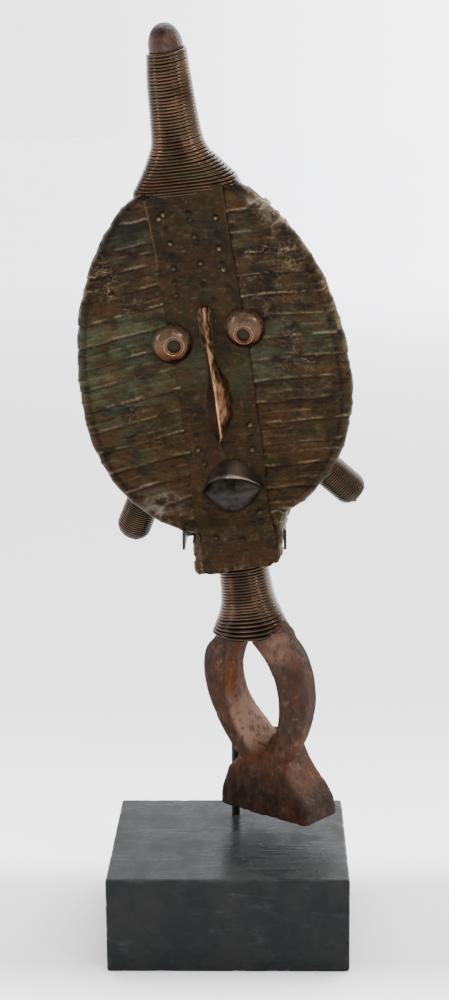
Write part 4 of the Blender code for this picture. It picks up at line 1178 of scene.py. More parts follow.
@dataclass
class CheekStrips:
    """Thin strips beaten over the board, each lapping the one below and folded over the rim."""

    finish: Material
    thickness: float = 0.0006
    under_face: float = 0.0022
    lap: float = 0.0016
    lift_low: float = 0.00110
    tuck: float = 0.0006
    fold: float = 0.0060
    off_board: float = 0.0004
    pillow_height: float = 0.00020
    ridge_height: float = 0.00060
    dent_height: float = 0.00034
    drag_height: float = 0.00010
    blow_height: float = 0.00016
    fold_heights: Pair = (0.00010, 0.00050)
    crush_heights: Triple = (0.0015, 0.0016, -0.0017)
    rim_swell: float = 0.0004
    fan: Pair = (-0.105, 0.035)
    grid: float = 0.00068
    top: float = 0.4690
    crinkles: tuple = (
        ((1.0, -0.066, 0.404, 0.022, 1.5, 1.0), (0.7, -0.050, 0.320, 0.024, 1.0, 1.2)),
        ((1.0, 0.050, 0.408, 0.020, 1.3, 1.0), (0.8, 0.062, 0.345, 0.026, 1.2, 1.6)),
    )
    green_spots: tuple = (
        ((0.4, -0.070, 0.288, 0.016, 1.2, 1.0), (0.9, -0.050, 0.440, 0.021)),
        ((0.8, 0.042, 0.437, 0.013), (0.88, 0.060, 0.352, 0.024, 1.5, 1.0), (0.5, 0.038, 0.335, 0.022)),
    )
    left_soot: tuple = (0.75, -0.048, 0.442, 0.021)
    left_bloom: tuple = (0.9, -0.050, 0.2405, 0.009, 1.4, 1.0)

    def fold_at(self, height: Array) -> Array:
        """How far a strip runs onto the back; short where the horns and the chin spring."""
        return self.fold * (0.42 + 0.58 * ease((height - 0.285) / 0.030))

    def relief(self, hand: Hand, index: int, side: Array, height: Array, up: Array,
               share: Array) -> tuple[Array, Values]:
        """Beaten relief of one strip.

        Adds the lap's lift, a soft pillow and a ridge along the strip, long dents, hammer blows,
        fine dragged marks and, in patches, raised crinkles.

        Args:
            hand: Half of the head.
            index: Number of the strip, lowest first.
            side: Side of each point.
            height: Height of each point.
            up: Place across the strip, 0 at its lower edge and 1 at its upper one.
            share: Place along the strip, as HeadForm.skin_line has it.

        Returns:
            Height of the relief in metres and the values that the finish reads.
        """
        seed = 100 + 7 * index + (50 if hand is Hand.RIGHT else 0)
        pillow = np.sin(math.pi * unit(up))
        at_rim = ease((share - 0.9) / 0.3)
        lift = (self.lift_low * (1.0 - unit(up)) ** 1.6 + self.pillow_height * pillow) * (1.0 - 0.55 * at_rim)
        dents = flat_noise(side, height, 0.016, seed, 1.6)
        blow, tilt = cells(side, height, 0.0052, seed + 1)
        drag = flat_noise(side, height, 0.0034, seed + 2, 9.0)
        folds = unit(0.55 + flat_noise(side, height, 0.0065, seed + 4)) * np.maximum(
            creases(side + 0.3 * height, height, 0.0034, seed + 3, 1.6),
            0.7 * creases(side - 0.5 * height, height, 0.0021, seed + 5, 1.2))
        patch, crush = self.crinkled(hand, side, height), self.crushed(hand, share, height)
        crushed = creases(side, height, 0.008, 77)
        _, planes = cells(side, height, 0.0075, 78)
        level = 0.42 + 0.10 * math.sin(5.0 * index) + 0.10 * flat_noise(side, 0.0, 0.05, seed + 6)
        ridge = mound(up - level, 0.055) * ease((share - 0.02) / 0.05)
        ridge = ridge * unit(0.7 + flat_noise(side, height, 0.020, seed + 7))
        plain, most = self.fold_heights
        crease_height, plane_height, sunk = self.crush_heights
        relief = lift + self.ridge_height * ridge + self.dent_height * dents + self.drag_height * drag
        relief = relief + self.blow_height * (tilt - mound(blow, 0.35)) + (plain + (most - plain) * patch) * folds
        relief = relief + crush * (crease_height * crushed + plane_height * planes + sunk)
        relief = relief + self.rim_swell * at_rim * (math.sin(2.3 * index * index) + pillow)
        cloud, small = flat_noise(side, height, 0.014, 31), flat_noise(side, height, 0.004, 33, 2.0)
        verdigris = self.green_at(hand, side, height) * (0.75 + 0.5 * small) + 0.22 * (cloud + small)
        # Pale marks: wear on the crinkle crests and drag marks, and painted highlights: a bright line along each
        # strip's lower edge, on the ridge, on the crushed rim and just past the rim's outer curve.
        rub = (0.06 + 0.50 * patch) * folds ** 1.2 + crush * (0.06 + 0.3 * crushed)
        rub = rub + (0.70 if index % 2 else 0.40) * mound(up, 0.036) * unit(0.35 + 1.6 * small)
        rub = rub + 0.10 * unit(drag * 2.0 - 0.8) + 0.34 * ridge * unit(0.4 + small)
        rub = rub + 0.8 * mound(share - 1.27, 0.08) * ease((height - 0.33) / 0.03) * unit(0.5 + small)
        # Dark marks: painted shade under each lap, beside the ridge, where the strip runs under the face sheet,
        # just inside the rim and between crinkles; grime in dents and drag marks.
        soot = 0.9 * ease((up - 0.82) / 0.06) + 0.45 * mound(up - 0.35, 0.05) * ridge + 0.6 * mound(share, 0.03)
        soot = soot + 0.6 * mound(share - 0.985, 0.02) + 0.7 * patch * (1.0 - folds)
        soot = soot + 0.35 * (unit(-dents) + unit(-drag * 1.5 - 0.4))
        # Whitish coat: painted highlights along the lap edges and on the crushed rim, with the crumpled metal's
        # own pale tone, strongest on the folds, and a pale spot low on the viewer's left.
        bloom = 0.10 * mound(up, 0.036) * unit(3.0 * cloud) + 0.95 * crush * (0.35 + crushed)
        if hand is Hand.LEFT:
            soot = soot + spots(side, height, self.left_soot)
            bloom = bloom + spots(side, height, self.left_bloom)
        return relief, wear(
            verdigris=verdigris, rub=rub, soot=soot, bloom=bloom * (0.15 + 1.6 * folds + 0.7 * small))

    def crinkled(self, hand: Hand, side: Array, height: Array) -> Array:
        """Where the sheet is crinkled: high on both cheeks, broken into patches."""
        base = spots(side, height, *HEAD.pick(self.crinkles, hand))
        return unit(base * 1.3 * (0.55 + flat_noise(side, height, 0.012, 41)))

    def crushed(self, hand: Hand, share: Array, height: Array) -> Array:
        """Where the rim is crushed and bright: high on the viewer's right."""
        return (hand is Hand.RIGHT) * ease((share - 0.62) / 0.3) * mound(height - 0.441, 0.016)

    def green_at(self, hand: Hand, side: Array, height: Array) -> Array:
        """Where verdigris has grown: a broad band across the viewer's left cheek, spots on both."""
        green = spots(side, height, *HEAD.pick(self.green_spots, hand))
        if hand is Hand.RIGHT:
            return green
        band = ease((0.386 - height) / 0.008) * ease((height - 0.292) / 0.035)
        return green + 0.05 + 0.90 * band * (0.70 + 0.30 * ease((-side - 0.03) / 0.03))

    def strip(self, hand: Hand, index: int) -> Shape:
        """One strip: a grid on the board's skin line, raised by its relief, with a wavy lower edge."""
        seams = HEAD.seams()
        low, high = seams[index], seams[index + 1]
        seed = 300 + 3 * index + (80 if hand is Hand.RIGHT else 0)
        reach = float(HEAD.half_width_at(0.5 * (low + high), hand)) - 0.02
        front = max(24, int(reach / self.grid))
        share = np.concatenate([
            np.linspace(0.0, 1.0, front), np.linspace(1.0, 2.0, 14)[1:], np.linspace(2.0, 3.0, 9)[1:]])[None, :]
        rows = max(14, int((high - low + self.lap) / self.grid))
        up = np.linspace(-self.lap / (high - low), 1.0 + self.tuck / (high - low), rows)[:, None]
        wave = 0.0006 * flat_noise(share * 0.08, 0.0, 0.018, seed)
        height = low + (high - low) * up + wave * unit(1.0 - up)
        slope = HEAD.pick(self.fan, hand) * ease((0.463 - height) / 0.03)
        height = np.clip(height + slope * reach * unit(share), HEAD.widest[0] - HEAD.drop[0] + 0.002, self.top)
        start = HEAD.sheet_edge(height, hand) - hand.value * self.under_face
        line = HEAD.skin_line(hand, start, share, height, self.fold_at(height))
        normal = grid_normals(line)
        normal = normal * np.sign(-normal[:, :1, 1:2] + 1e-9)
        relief, values = self.relief(hand, index, line[..., 0], height, up, share)
        outer = line + normal * (self.off_board + self.thickness + relief)[..., None]
        inner = line + normal * (self.off_board + 0.9 * np.maximum(relief, 0.0))[..., None]
        return SPINE.placed(shell(outer, inner, values))

    def build(self) -> None:
        """Beat every strip, from the lowest up."""
        for hand, first in ((Hand.LEFT, 0), (Hand.RIGHT, 1)):
            for index in range(first, HEAD.strips):
                place, shape = f"{hand.label}_{index + 1:02d}", self.strip(hand, index)
                set_down(f"strip_{place}", shape, self.finish, "cheek_sheet", f"cheek_strip_{place}")


@dataclass
class FaceSheet:
    """Middle sheet from the topknot over forehead and nose line to the chin, and the chin's flanks."""

    finish: Material
    thickness: float = 0.0008
    offset: float = 0.0013
    boss_width: float = 0.0020
    boss_height: float = 0.0015
    boss_columns: tuple = (
        (-0.0145, (0.4490, 0.4385, 0.4280, 0.4185, 0.4100, 0.3995, 0.3905)),
        (0.0040, (0.4475, 0.4435, 0.4310, 0.4275, 0.4120, 0.3970)),
        (0.0210, (0.4430, 0.4315, 0.4210, 0.4105, 0.4060, 0.3940)),
    )
    stray_bosses: tuple = (
        (-0.0189, 0.4463), (0.0096, 0.3855), (0.0213, 0.2917), (0.0216, 0.2827), (0.0224, 0.2736),
        (0.0025, 0.2775), (-0.0165, 0.2772), (-0.0175, 0.2875), (-0.0148, 0.2663), (0.0056, 0.2105),
        (-0.0218, 0.1965), (-0.0123, 0.2138), (0.0226, 0.2223), (0.0233, 0.2287),
    )
    side_tops: Pair = (0.2240, 0.2312)
    lip: tuple = (
        (0.1892, 0.0), (0.1932, 0.0002), (0.1973, 0.0010), (0.2013, 0.0018), (0.2135, 0.0051),
        (0.2217, 0.0084), (0.2278, 0.0112), (0.2330, 0.0118),
    )
    wrap: tuple = (
        (0.0, -0.0074, 0.0, 0.0), (1.0, -0.0010, 0.60, 0.0), (1.25, 0.0001, 0.68, 0.0010),
        (2.0, 0.0006, 0.88, 0.0075), (2.6, 0.0006, 1.0, 0.0125), (3.1, 0.0005, 0.75, 0.0180),
        (4.0, 0.0004, 0.0, 0.0345),
    )
    top: float = 0.4660
    flank_thickness: float = 0.0007
    dent_height: float = 0.00042
    blow_height: float = 0.00020
    grain_height: float = 0.00009
    hollow_depth: float = 0.0006
    raised_height: float = 0.0007
    edge_height: float = 0.00025
    crumple_height: float = 0.0007
    turned_under: float = 0.0006
    edge_wave: float = 0.0005
    hollow: tuple = (1.0, -0.0135, 0.345, 0.014, 0.7, 2.6)
    worn_line: tuple = (1.0, -0.0135, 0.345, 0.010, 1.0, 3.0)
    green_spots: tuple = ((0.45, -0.012, 0.335, 0.016), (0.4, 0.022, 0.33, 0.018), (0.25, 0.018, 0.437, 0.012))

    def bosses(self, side: Array, height: Array) -> Array:
        """Small punched bosses, each a steep bell, each a little off its column."""
        places = [(column, level) for column, levels in self.boss_columns for level in levels]
        total = np.zeros_like(side)
        for number, (across, level) in enumerate(places + list(self.stray_bosses)):
            shift = 0.0012 * math.sin(7.0 * number)
            grow = 0.8 + 0.35 * math.sin(3.0 * number + 1.0)
            distance = np.hypot(side - across - shift, height - level)
            total = np.maximum(total, grow * np.exp(-(distance / self.boss_width) ** 3))
        return total

    def relief(self, side: Array, height: Array, share: Array) -> tuple[Array, Values]:
        """Beaten relief: bosses, long dents, blows, a raised edge high on the left and crumpled chin corners."""
        bosses = self.bosses(side, height)
        dents = flat_noise(side, height, 0.020, 51, 0.8)
        _, tilt = cells(side, height, 0.0065, 52)
        fine = flat_noise(side, height, 0.003, 53)
        left_edge, right_edge = mound(share + 1.0, 0.035), mound(share - 1.0, 0.035)
        raised = left_edge * ease((height - 0.405) / 0.01) + 0.6 * right_edge * ease((height - 0.420) / 0.01)
        low_folds = creases(side, height, 0.0055, 55, 0.7)
        low_edge = ease((0.225 - height) / 0.02) * mound(height - CHIN.low, 0.006)
        hollow = spots(side, height, self.hollow)
        relief = self.boss_height * bosses + self.dent_height * dents + self.blow_height * tilt
        relief = relief + self.grain_height * fine - self.hollow_depth * hollow + self.raised_height * raised
        relief = relief + self.edge_height * (left_edge + right_edge) + self.crumple_height * low_edge * low_folds
        relief = relief - self.turned_under * mound(height - CHIN.low, 0.0025)
        verdigris = spots(side, height, *self.green_spots) + 0.22 * flat_noise(side, height, 0.018, 56)
        # Pale marks: painted glints on the boss tips and painted highlights on the raised edges and the crumpled
        # lower edge, with pale flecks of wear.
        rub = 0.55 * bosses ** 5 + 0.30 * raised + 0.12 * unit(2.0 * fine - 0.9) + 0.25 * low_folds * low_edge
        rub = rub + 0.05 * (mound(height - 0.262, 0.022) + spots(side, height, self.worn_line))
        # Dark marks: painted shade round each boss and in the hollow left of the nose; darker along both edges,
        # in dents and towards the top.
        soot = 0.65 * (mound(share + 1.06, 0.05) * (height < 0.41) + mound(share - 1.03, 0.05))
        soot = soot + 0.45 * unit(-dents - 0.1) + 3.4 * bosses * (1.0 - bosses)
        soot = soot + 0.25 * hollow + 0.22 * ease((height - 0.385) / 0.03)
        return relief, wear(verdigris=verdigris, rub=rub, soot=soot)

    def middle(self) -> Shape:
        """Middle sheet: a grid between its two edges, raised by its relief."""
        height = np.concatenate([
            np.linspace(CHIN.low - 0.0003, CHIN.low + CHIN.corner, 14)[:-1],
            np.linspace(CHIN.low + CHIN.corner, self.top, 314)])[:, None]
        share = np.linspace(-1.0, 1.0, 72)[None, :]
        trim = CHIN.half_width - CHIN.half_width_at(height)
        left = np.where(height > HEAD.widest[1], HEAD.sheet_edge(height, Hand.LEFT), HEAD.sheet_left)
        left = left + trim - CHIN.flare_at(height, np.array(-1.0)) + 0.0036 * ease((0.2262 - height) / 0.009)
        right = np.where(height > HEAD.widest[1], HEAD.sheet_edge(height, Hand.RIGHT), HEAD.sheet_right)
        right = right - trim + 0.0022 * ease((0.2270 - height) / 0.012) * ease((height - 0.1915) / 0.006)
        left = left + self.edge_wave * flat_noise(height, 0.0, 0.02, 61)
        right = right + self.edge_wave * flat_noise(height, 0.0, 0.02, 62)
        side = left + (right - left) * (share + 1.0) / 2.0
        torn = 0.0009 * flat_noise(side, 0.0, 0.012, 63) * mound(height - CHIN.low, 0.004)
        line = stacked(side, HEAD.front_depth(side, height), CHIN.level(height, share) + torn)
        normal = grid_normals(line)
        normal = normal * np.sign(-normal[..., 1:2])
        relief, values = self.relief(side, height, share)
        outer = line + normal * (self.offset + self.thickness + relief)[..., None]
        inner = line + normal * (self.offset + 0.85 * np.minimum(relief, 0.0006))[..., None]
        return SPINE.placed(shell(outer, inner, values))

    def flank(self, hand: Hand) -> Shape:
        """Sheet on one flank of the chin: a crumpled flange on the front, a round corner and the side."""
        height = np.linspace(CHIN.low + 0.12 * CHIN.corner, HEAD.pick(self.side_tops, hand), 64)[:, None]
        along = np.linspace(0.0, 4.0, 96)[None, :]
        shift, swell, sink = stations(self.wrap, along)
        out = shift + swell * through(self.lip, 1, height) * (hand is Hand.RIGHT)
        out = out - HEAD.pick(CHIN.back_narrowing, hand) * ease((along - 1.0) / 3.0)
        flare = CHIN.flare_at(height, np.array(float(hand.value)))
        side = HEAD.middle + hand.value * (CHIN.half_width_at(height) + flare + out)
        depth = HEAD.front_depth(side, height) + 0.0003 + sink
        inner = stacked(side, depth, CHIN.level(height, hand.value * ease(along)))
        normal = grid_normals(inner)
        normal = normal * np.sign(normal[:, -1:, :1] * hand.value)
        folds = creases(along * 0.006, height, 0.0056, 71 + hand.value)
        clouds = flat_noise(along * 0.006, height, 0.010, 73 + hand.value)
        relief = ease((along - 0.2) / 0.5) * np.maximum(0.0003 * clouds + 0.0013 * folds, 0.0)
        outer = inner + normal * (self.flank_thickness + relief)[..., None]
        # Whitish coat: painted highlight on the crumpled flank, strongest on the side faces and on the right
        # flank; pale on the fold crests and dark between them, wear and painted shade.
        front = HEAD.pick((0.45, 0.10), hand)
        bright = HEAD.pick((0.40, 0.85), hand) * (front + (1.0 - front) * ease((along - 0.95) / 0.25))
        bright = bright * (0.25 + 0.9 * folds + 0.6 * clouds) * ease((height - 0.1935) / 0.012)
        return SPINE.placed(shell(outer, inner, wear(
            verdigris=HEAD.pick((0.6, 0.2), hand) * (0.5 + clouds), rub=0.12 + 0.5 * folds,
            soot=0.45 * (1.0 - folds) - 0.5 * clouds, bloom=bright)))

    def build(self) -> None:
        """Beat the middle sheet and both flanks."""
        set_down("face_sheet_beaten", self.middle(), self.finish, "hammered_sheet", "face_sheet")
        for hand in Hand:
            set_down(f"chin_flank_{hand.label}", self.flank(hand), self.finish, "hammered_sheet",
                     f"chin_side_sheet_{hand.label}")


# ------------------------------------------------------------------ wire

@dataclass
class Windings:
    """Wire bound round topknot, neck and horns, each one continuous coil."""

    finish: Material
    wood: CarvedWood
    sides: int = 8
    topknot_span: Pair = (0.4596, 0.5545)
    neck_span: Pair = (0.1385, 0.1890)
    horn_span: Pair = (0.0012, 0.0335)
    topknot_turns: float = 44.4
    neck_turns: float = 23.3
    horn_turns: float = 18.5
    pin_profile: tuple = (
        (-0.003, 0.0007), (0.0, 0.0007), (0.0012, 0.0007), (0.0018, 0.0012), (0.0024, 0.0011), (0.0028, 0.0005),
    )

    def coil(self, line: object, turns: float, radius: float, per_turn: int, seed: int,
             grime: float = 0.0, fade: float = 0.0) -> Shape:
        """Round wire along a coil.

        Rings of points stand square to the path: its direction is the difference of its
        neighbours, and its outward line the difference between a wider and the plain path.

        Args:
            line: Function of share, angle and growth that gives the path's points.
            turns: How many turns the wire makes.
            radius: Half the wire's thickness.
            per_turn: Points on one turn.
            seed: Number that picks the wear.
            grime: Share of grime added over the whole wire.
            fade: Share of the wear that is missing on the first turns.

        Returns:
            The wire's surface in the frame's coordinates.
        """
        share = np.linspace(0.0, 1.0, int(turns * per_turn) + 1)
        angle = 2.0 * math.pi * turns * share
        path = line(share, angle, radius)
        tangent = direction(np.gradient(path, axis=0))
        out = line(share, angle, radius + 0.001) - path
        out = direction(out - tangent * np.sum(out * tangent, -1, keepdims=True))
        crosswise = np.cross(tangent, out)
        around = circle(self.sides)[None, :, None]
        thick = radius * (1.0 + 0.06 * noise(path, 0.012, seed)[:, None, None])
        rings = path[:, None] + thick * (np.cos(around) * out[:, None] + np.sin(around) * crosswise[:, None])
        # Each turn's crest is paler, wear and painted highlight; the grooves between turns are darker, painted
        # shade; grime darkens the whole wire.
        wear_and_highlight = unit(0.35 + 0.9 * noise(path, 0.014, seed + 1)) * (1.0 - fade * ease((0.26 - share) / 0.08))
        proud = unit(np.cos(around[..., 0]))
        values = wear(rub=wear_and_highlight[:, None] * proud ** 1.2, soot=grime + 1.3 * unit(0.26 - proud))
        return SPINE.placed(tube(rings, values))

    def topknot_path(self, share: Array, angle: Array, grow: float) -> Array:
        """Coil up the topknot: even rise, looser and sloping up to the right on the flare."""
        low, high = self.topknot_span
        flare = ease((0.20 - share) / 0.20)
        height = low + (high - low) * share - 0.0006 * flare * np.cos(angle)
        height = height + 0.00022 * flat_noise(angle * 0.004, share, 0.01, 81)
        return self.wood.topknot_line(np.clip(height, 0.4590, None), angle, grow + 0.0002)

    def neck_path(self, share: Array, angle: Array, grow: float) -> Array:
        """Coil up the neck: even rise, its lowest turn dropping at the front."""
        low, high = self.neck_span
        drop = 0.0058 * mound(share, 0.16) * unit(-np.sin(angle - 0.2)) ** 1.4
        height = low + (high - low) * share + 0.0002 * flat_noise(angle * 0.004, share, 0.01, 82)
        half_side, half_depth = stations(self.wood.neck_stations, height)
        half_side = half_side + grow - 0.0018 * mound(share, 0.2)
        side, depth = section(half_side, half_depth + grow + 0.0002, self.wood.neck_squareness, angle)
        return stacked(side - 0.0016 * mound(share, 0.25), depth, height - drop)

    def horn_path(self, hand: Hand) -> object:
        """Coil along a horn to its rounded tip, as a function of share, angle and growth."""
        low, high = self.horn_span
        return lambda share, angle, grow: self.wood.horn_line(hand, high + (low - high) * share, angle, grow)

    def pin(self, hand: Hand) -> Shape:
        """Small nail that holds the wire's end at a horn's tip, a round bar with a swollen head."""
        tip, axis, first, second = self.wood.horn_axis(hand)
        along, radius = np.array(self.pin_profile).T[:, :, None, None]
        angle = circle(12)[None, :, None]
        centre = tip - 0.45 * HEAD.pick(self.wood.horn_radius, hand) * hand.value * first
        rings = centre + axis * along + radius * (np.cos(angle) * first + np.sin(angle) * second)
        return SPINE.placed(tube(rings, wear(rub=0.1, soot=0.8)))

    def build(self) -> None:
        """Wind the wire and set the pins."""
        top = self.coil(
            self.topknot_path, self.topknot_turns, radius=0.00122, per_turn=50, seed=91, grime=0.26, fade=0.65)
        set_down("topknot_wire", top, self.finish, "bound_wire", "topknot_winding")
        neck = self.coil(self.neck_path, self.neck_turns, radius=0.00152, per_turn=50, seed=93, grime=0.55)
        set_down("neck_wire", neck, self.finish, "bound_wire", "neck_winding")
        for hand in Hand:
            path = self.horn_path(hand)
            # The horn wires carry the most grime: darker all over, partly painted shade on these downward-facing
            # coils.
            wire = self.coil(path, self.horn_turns, radius=0.00108, per_turn=40, seed=95, grime=0.64)
            set_down(f"horn_wire_{hand.label}", join([wire, self.pin(hand)]), self.finish, "bound_wire",
                     f"horn_winding_{hand.label}")


# ------------------------------------------------------------------ features

@dataclass
class Features:
    """Raised pieces of the face: eyes, nose and mouth."""

    finishes: Finishes
    stand_off: float = 0.0021
    back_sink: float = 0.0008
    eye_places: tuple = ((-0.0242, 0.3556), (0.0286, 0.3624))
    eye_radius: float = 0.0142
    eye_height: float = 0.0100
    pupil_shifts: tuple = ((0.0034, 0.0010), (0.0, -0.0022))
    pupil_radius: float = 0.0048
    outer_ring: float = 0.0069
    inner_ring: float = 0.0051
    ring_heights: Pair = (0.00050, 0.00035)
    pupil_depth: float = 0.0018
    blow_height: float = 0.00016
    nose_top: float = 0.3800
    nose_tip: float = 0.2811
    nose_height: float = 0.0125
    nose_rows: tuple = (
        (0.0, 0.0026, 0.0035, 0.0029, 0.35), (0.042, 0.0031, 0.0058, 0.0038, 0.55),
        (0.127, 0.0033, 0.0066, 0.0026, 0.62), (0.248, 0.0026, 0.0064, 0.0018, 0.68),
        (0.369, 0.0023, 0.0043, 0.0024, 0.78), (0.478, 0.0026, 0.0047, 0.0048, 0.88),
        (0.560, 0.0027, 0.0057, 0.0083, 0.94), (0.657, 0.0027, 0.0089, 0.0093, 0.99),
        (0.746, 0.0025, 0.0097, 0.0095, 1.00), (0.813, 0.0025, 0.0102, 0.0087, 1.00),
        (0.873, 0.0024, 0.0101, 0.0052, 0.95), (0.940, 0.0019, 0.0071, 0.0020, 0.80),
        (1.0, -0.0009, 0.0010, 0.0006, 0.30),
    )
    mouth_place: Pair = (0.0042, 0.2471)
    mouth_half_width: float = 0.0220
    mouth_rise: float = 0.0211
    mouth_drop: float = 0.0166
    mouth_height: float = 0.0140
    mouth_profile: tuple = (
        (-1.0, 0.08), (-0.85, 0.32), (-0.30, 0.74), (0.05, 0.84), (0.15, 0.82), (0.38, 0.66), (0.48, 0.64),
        (0.56, 0.97), (0.62, 1.0), (0.80, 0.66), (0.95, 0.24), (1.0, 0.06),
    )

    def base(self, side: Array, height: Array) -> Array:
        """Depth where raised pieces sit on the sheet."""
        return HEAD.front_depth(side, height) - self.stand_off

    def eye(self, hand: Hand) -> Shape:
        """Eye: a flattened dome with a double ring pressed round a sunk pupil below its middle."""
        across, level = HEAD.pick(self.eye_places, hand)
        angle = circle(200)[None, :]
        reach = np.linspace(0.02, 1.0, 90)[:, None] ** 0.9
        side = across + reach * self.eye_radius * np.cos(angle)
        height = level + reach * self.eye_radius * np.sin(angle)
        dome = self.eye_height * (0.06 + 0.94 * (1.0 - reach ** 2.5) ** 0.52)
        shift_side, shift_up = HEAD.pick(self.pupil_shifts, hand)
        ring = np.hypot(side - across - shift_side, height - level - shift_up)
        outer, inner = ring - self.outer_ring, ring - self.inner_ring
        press = self.ring_heights[0] * mound(outer, 0.00034) + self.ring_heights[1] * mound(inner, 0.00030)
        press = press - self.pupil_depth * ease((self.pupil_radius - ring) / 0.0009) + 0.0003 * mound(ring, 0.003)
        beaten = self.blow_height * noise(stacked(side, height, dome), 0.006, 111 + hand.value)
        front = stacked(side, self.base(side, height) - dome - press - beaten, height)
        back = stacked(side[-1:], self.base(side[-1:], height[-1:]) + self.back_sink, height[-1:])
        # Painted reflection and shade: the dome's upper part is painted brown and its lower part left red copper;
        # the ring crests are pale, wear and painted highlight, and the rim's left edge is a painted highlight.
        crest = 0.60 * mound(outer, 0.00034) + 0.26 * mound(inner, 0.00026)
        upper = ease((height - level) / self.eye_radius + 0.55)
        values = wear(
            pupil=ease((self.pupil_radius - ring) / 0.0007), soot=0.95 * upper * (1.0 - crest),
            rub=0.85 * crest + 0.3 * mound(reach - 0.95, 0.03) * unit(-np.cos(angle)))
        kept = {key: np.concatenate([value, value[-1:]]) for key, value in values.items()}
        return SPINE.placed(tube(np.concatenate([front, back]), kept))

    def raised(self, side: Array, height: Array, rise: Array, values: Values) -> Shape:
        """Closed piece that stands off the sheet by rise, its back just inside the sheet."""
        base = self.base(side, height)
        return SPINE.placed(shell(
            stacked(side, base - rise, height), stacked(side, base + self.back_sink, height), values))

    def nose(self) -> Shape:
        """Nose: two flat flanks that meet in a ridge, widening to a pointed tip."""
        along = np.concatenate([np.linspace(0.0, 0.86, 70), np.linspace(0.86, 1.0, 20)[1:]])[:, None]
        share = np.linspace(-1.0, 1.0, 41)[None, :]
        height = self.nose_top + (self.nose_tip - self.nose_top) * along
        ridge_side, left, right, tall = stations(self.nose_rows, along)
        width = np.where(share < 0.0, left, right)
        side = ridge_side + share * width
        slope = (1.0 - np.abs(share)) ** np.where(share < 0.0, 0.95, 0.80)
        rise = self.nose_height * tall * (0.06 + 0.94 * slope)
        rise = rise + 0.00022 * flat_noise(side, height, 0.007, 121, 0.6)
        streak = unit(0.6 + flat_noise(side, height, 0.003, 122, 0.25))
        broad = 0.00122 - 0.00060 * ease((along - 0.48) / 0.2)
        # Painted highlights: a pale line down the ridge and pale streaks on the right flank, the upper part and
        # low on the left flank; painted shade along the base edges and over the upper part.
        ridge = mound((share - 0.02) * width, broad) * (0.5 + 0.8 * streak)
        flank = ease(share / 0.15) * (1.0 - 0.7 * ease((share - 0.6) / 0.4)) * ease((along - 0.28) / 0.16)
        high = 1.0 - ease((along - 0.25) / 0.20)
        rub = ridge * (0.35 + 0.60 * ease((along - 0.22) / 0.18)) + streak * (0.24 * flank + 0.44 * high)
        rub = rub + 0.16 * ease(-share / 0.15) * mound(along - 0.75, 0.18)
        soot = 0.6 * ease((np.abs(share) - 0.88) / 0.10) + 0.45 * high
        return self.raised(side, height, rise, wear(rub=rub, soot=soot))

    def mouth(self) -> Shape:
        """Mouth: a pointed lens of flat planes, stepped in under the lip line."""
        share = np.linspace(-0.985, 0.985, 76)[None, :]
        level = np.concatenate([
            np.linspace(1.0, 0.66, 16), np.linspace(0.66, 0.42, 14)[1:],
            np.linspace(0.42, -1.0, 40)[1:]])[:, None]
        power = np.where(level > 0.0, np.where(share < 0.0, 2.5, 2.15), 2.0)
        lens = np.maximum(1.0 - np.abs(share) ** power, 0.03)
        height = self.mouth_place[1] + level * np.where(level > 0.0, self.mouth_rise, self.mouth_drop) * lens
        side = self.mouth_place[0] + share * self.mouth_half_width
        above = ease((level - 0.52) / 0.08)
        folds = creases(side, height, 0.010, 132)
        rise = self.mouth_height * through(self.mouth_profile, 1, level) * lens ** 0.75 + lens * (
            0.0052 * above * (0.3 - np.abs(share - 0.05)) + 0.0016 * (1.0 - above) * (0.3 - np.abs(share + 0.10))
            + 0.00110 * flat_noise(side, height, 0.0095, 131) - 0.0007 * above * folds)
        height = height + 0.0007 * flat_noise(side, height, 0.013, 133) * np.abs(level)
        # Painted highlights on the lip line and the upper lip's right facet; painted shade in the recess under
        # the lip, at the pointed ends and over the lip's left half.
        bright = mound(level - 0.60, 0.05) * ease((share + 0.08) / 0.10) * (1.0 - 0.5 * ease((share - 0.1) / 0.2))
        under = ease((level + 0.12) / 0.22) * ease((0.54 - level) / 0.05)
        rub = 0.85 * bright + above * (0.12 + 0.45 * mound(share - 0.30, 0.25) + 0.15 * mound(share + 0.55, 0.2))
        soot = under + 0.5 * (lens < 0.12) + 0.9 * mound(level - 0.58, 0.05) * ease((-0.08 - share) / 0.12)
        return self.raised(side, height, rise, wear(rub=rub, soot=soot))

    def build(self) -> None:
        """Set eyes, nose and mouth on the face."""
        for hand in Hand:
            set_down(f"eye_dome_{hand.label}", self.eye(hand), self.finishes.copper, "polished_copper",
                     f"eye_{hand.label}")
        set_down("nose_ridge", self.nose(), self.finishes.copper, "polished_copper", "nose", sharp_degrees=32.0)
        set_down("mouth_lens", self.mouth(), self.finishes.pewter, "grey_metal", "mouth", sharp_degrees=28.0)


# ------------------------------------------------------------------ stand

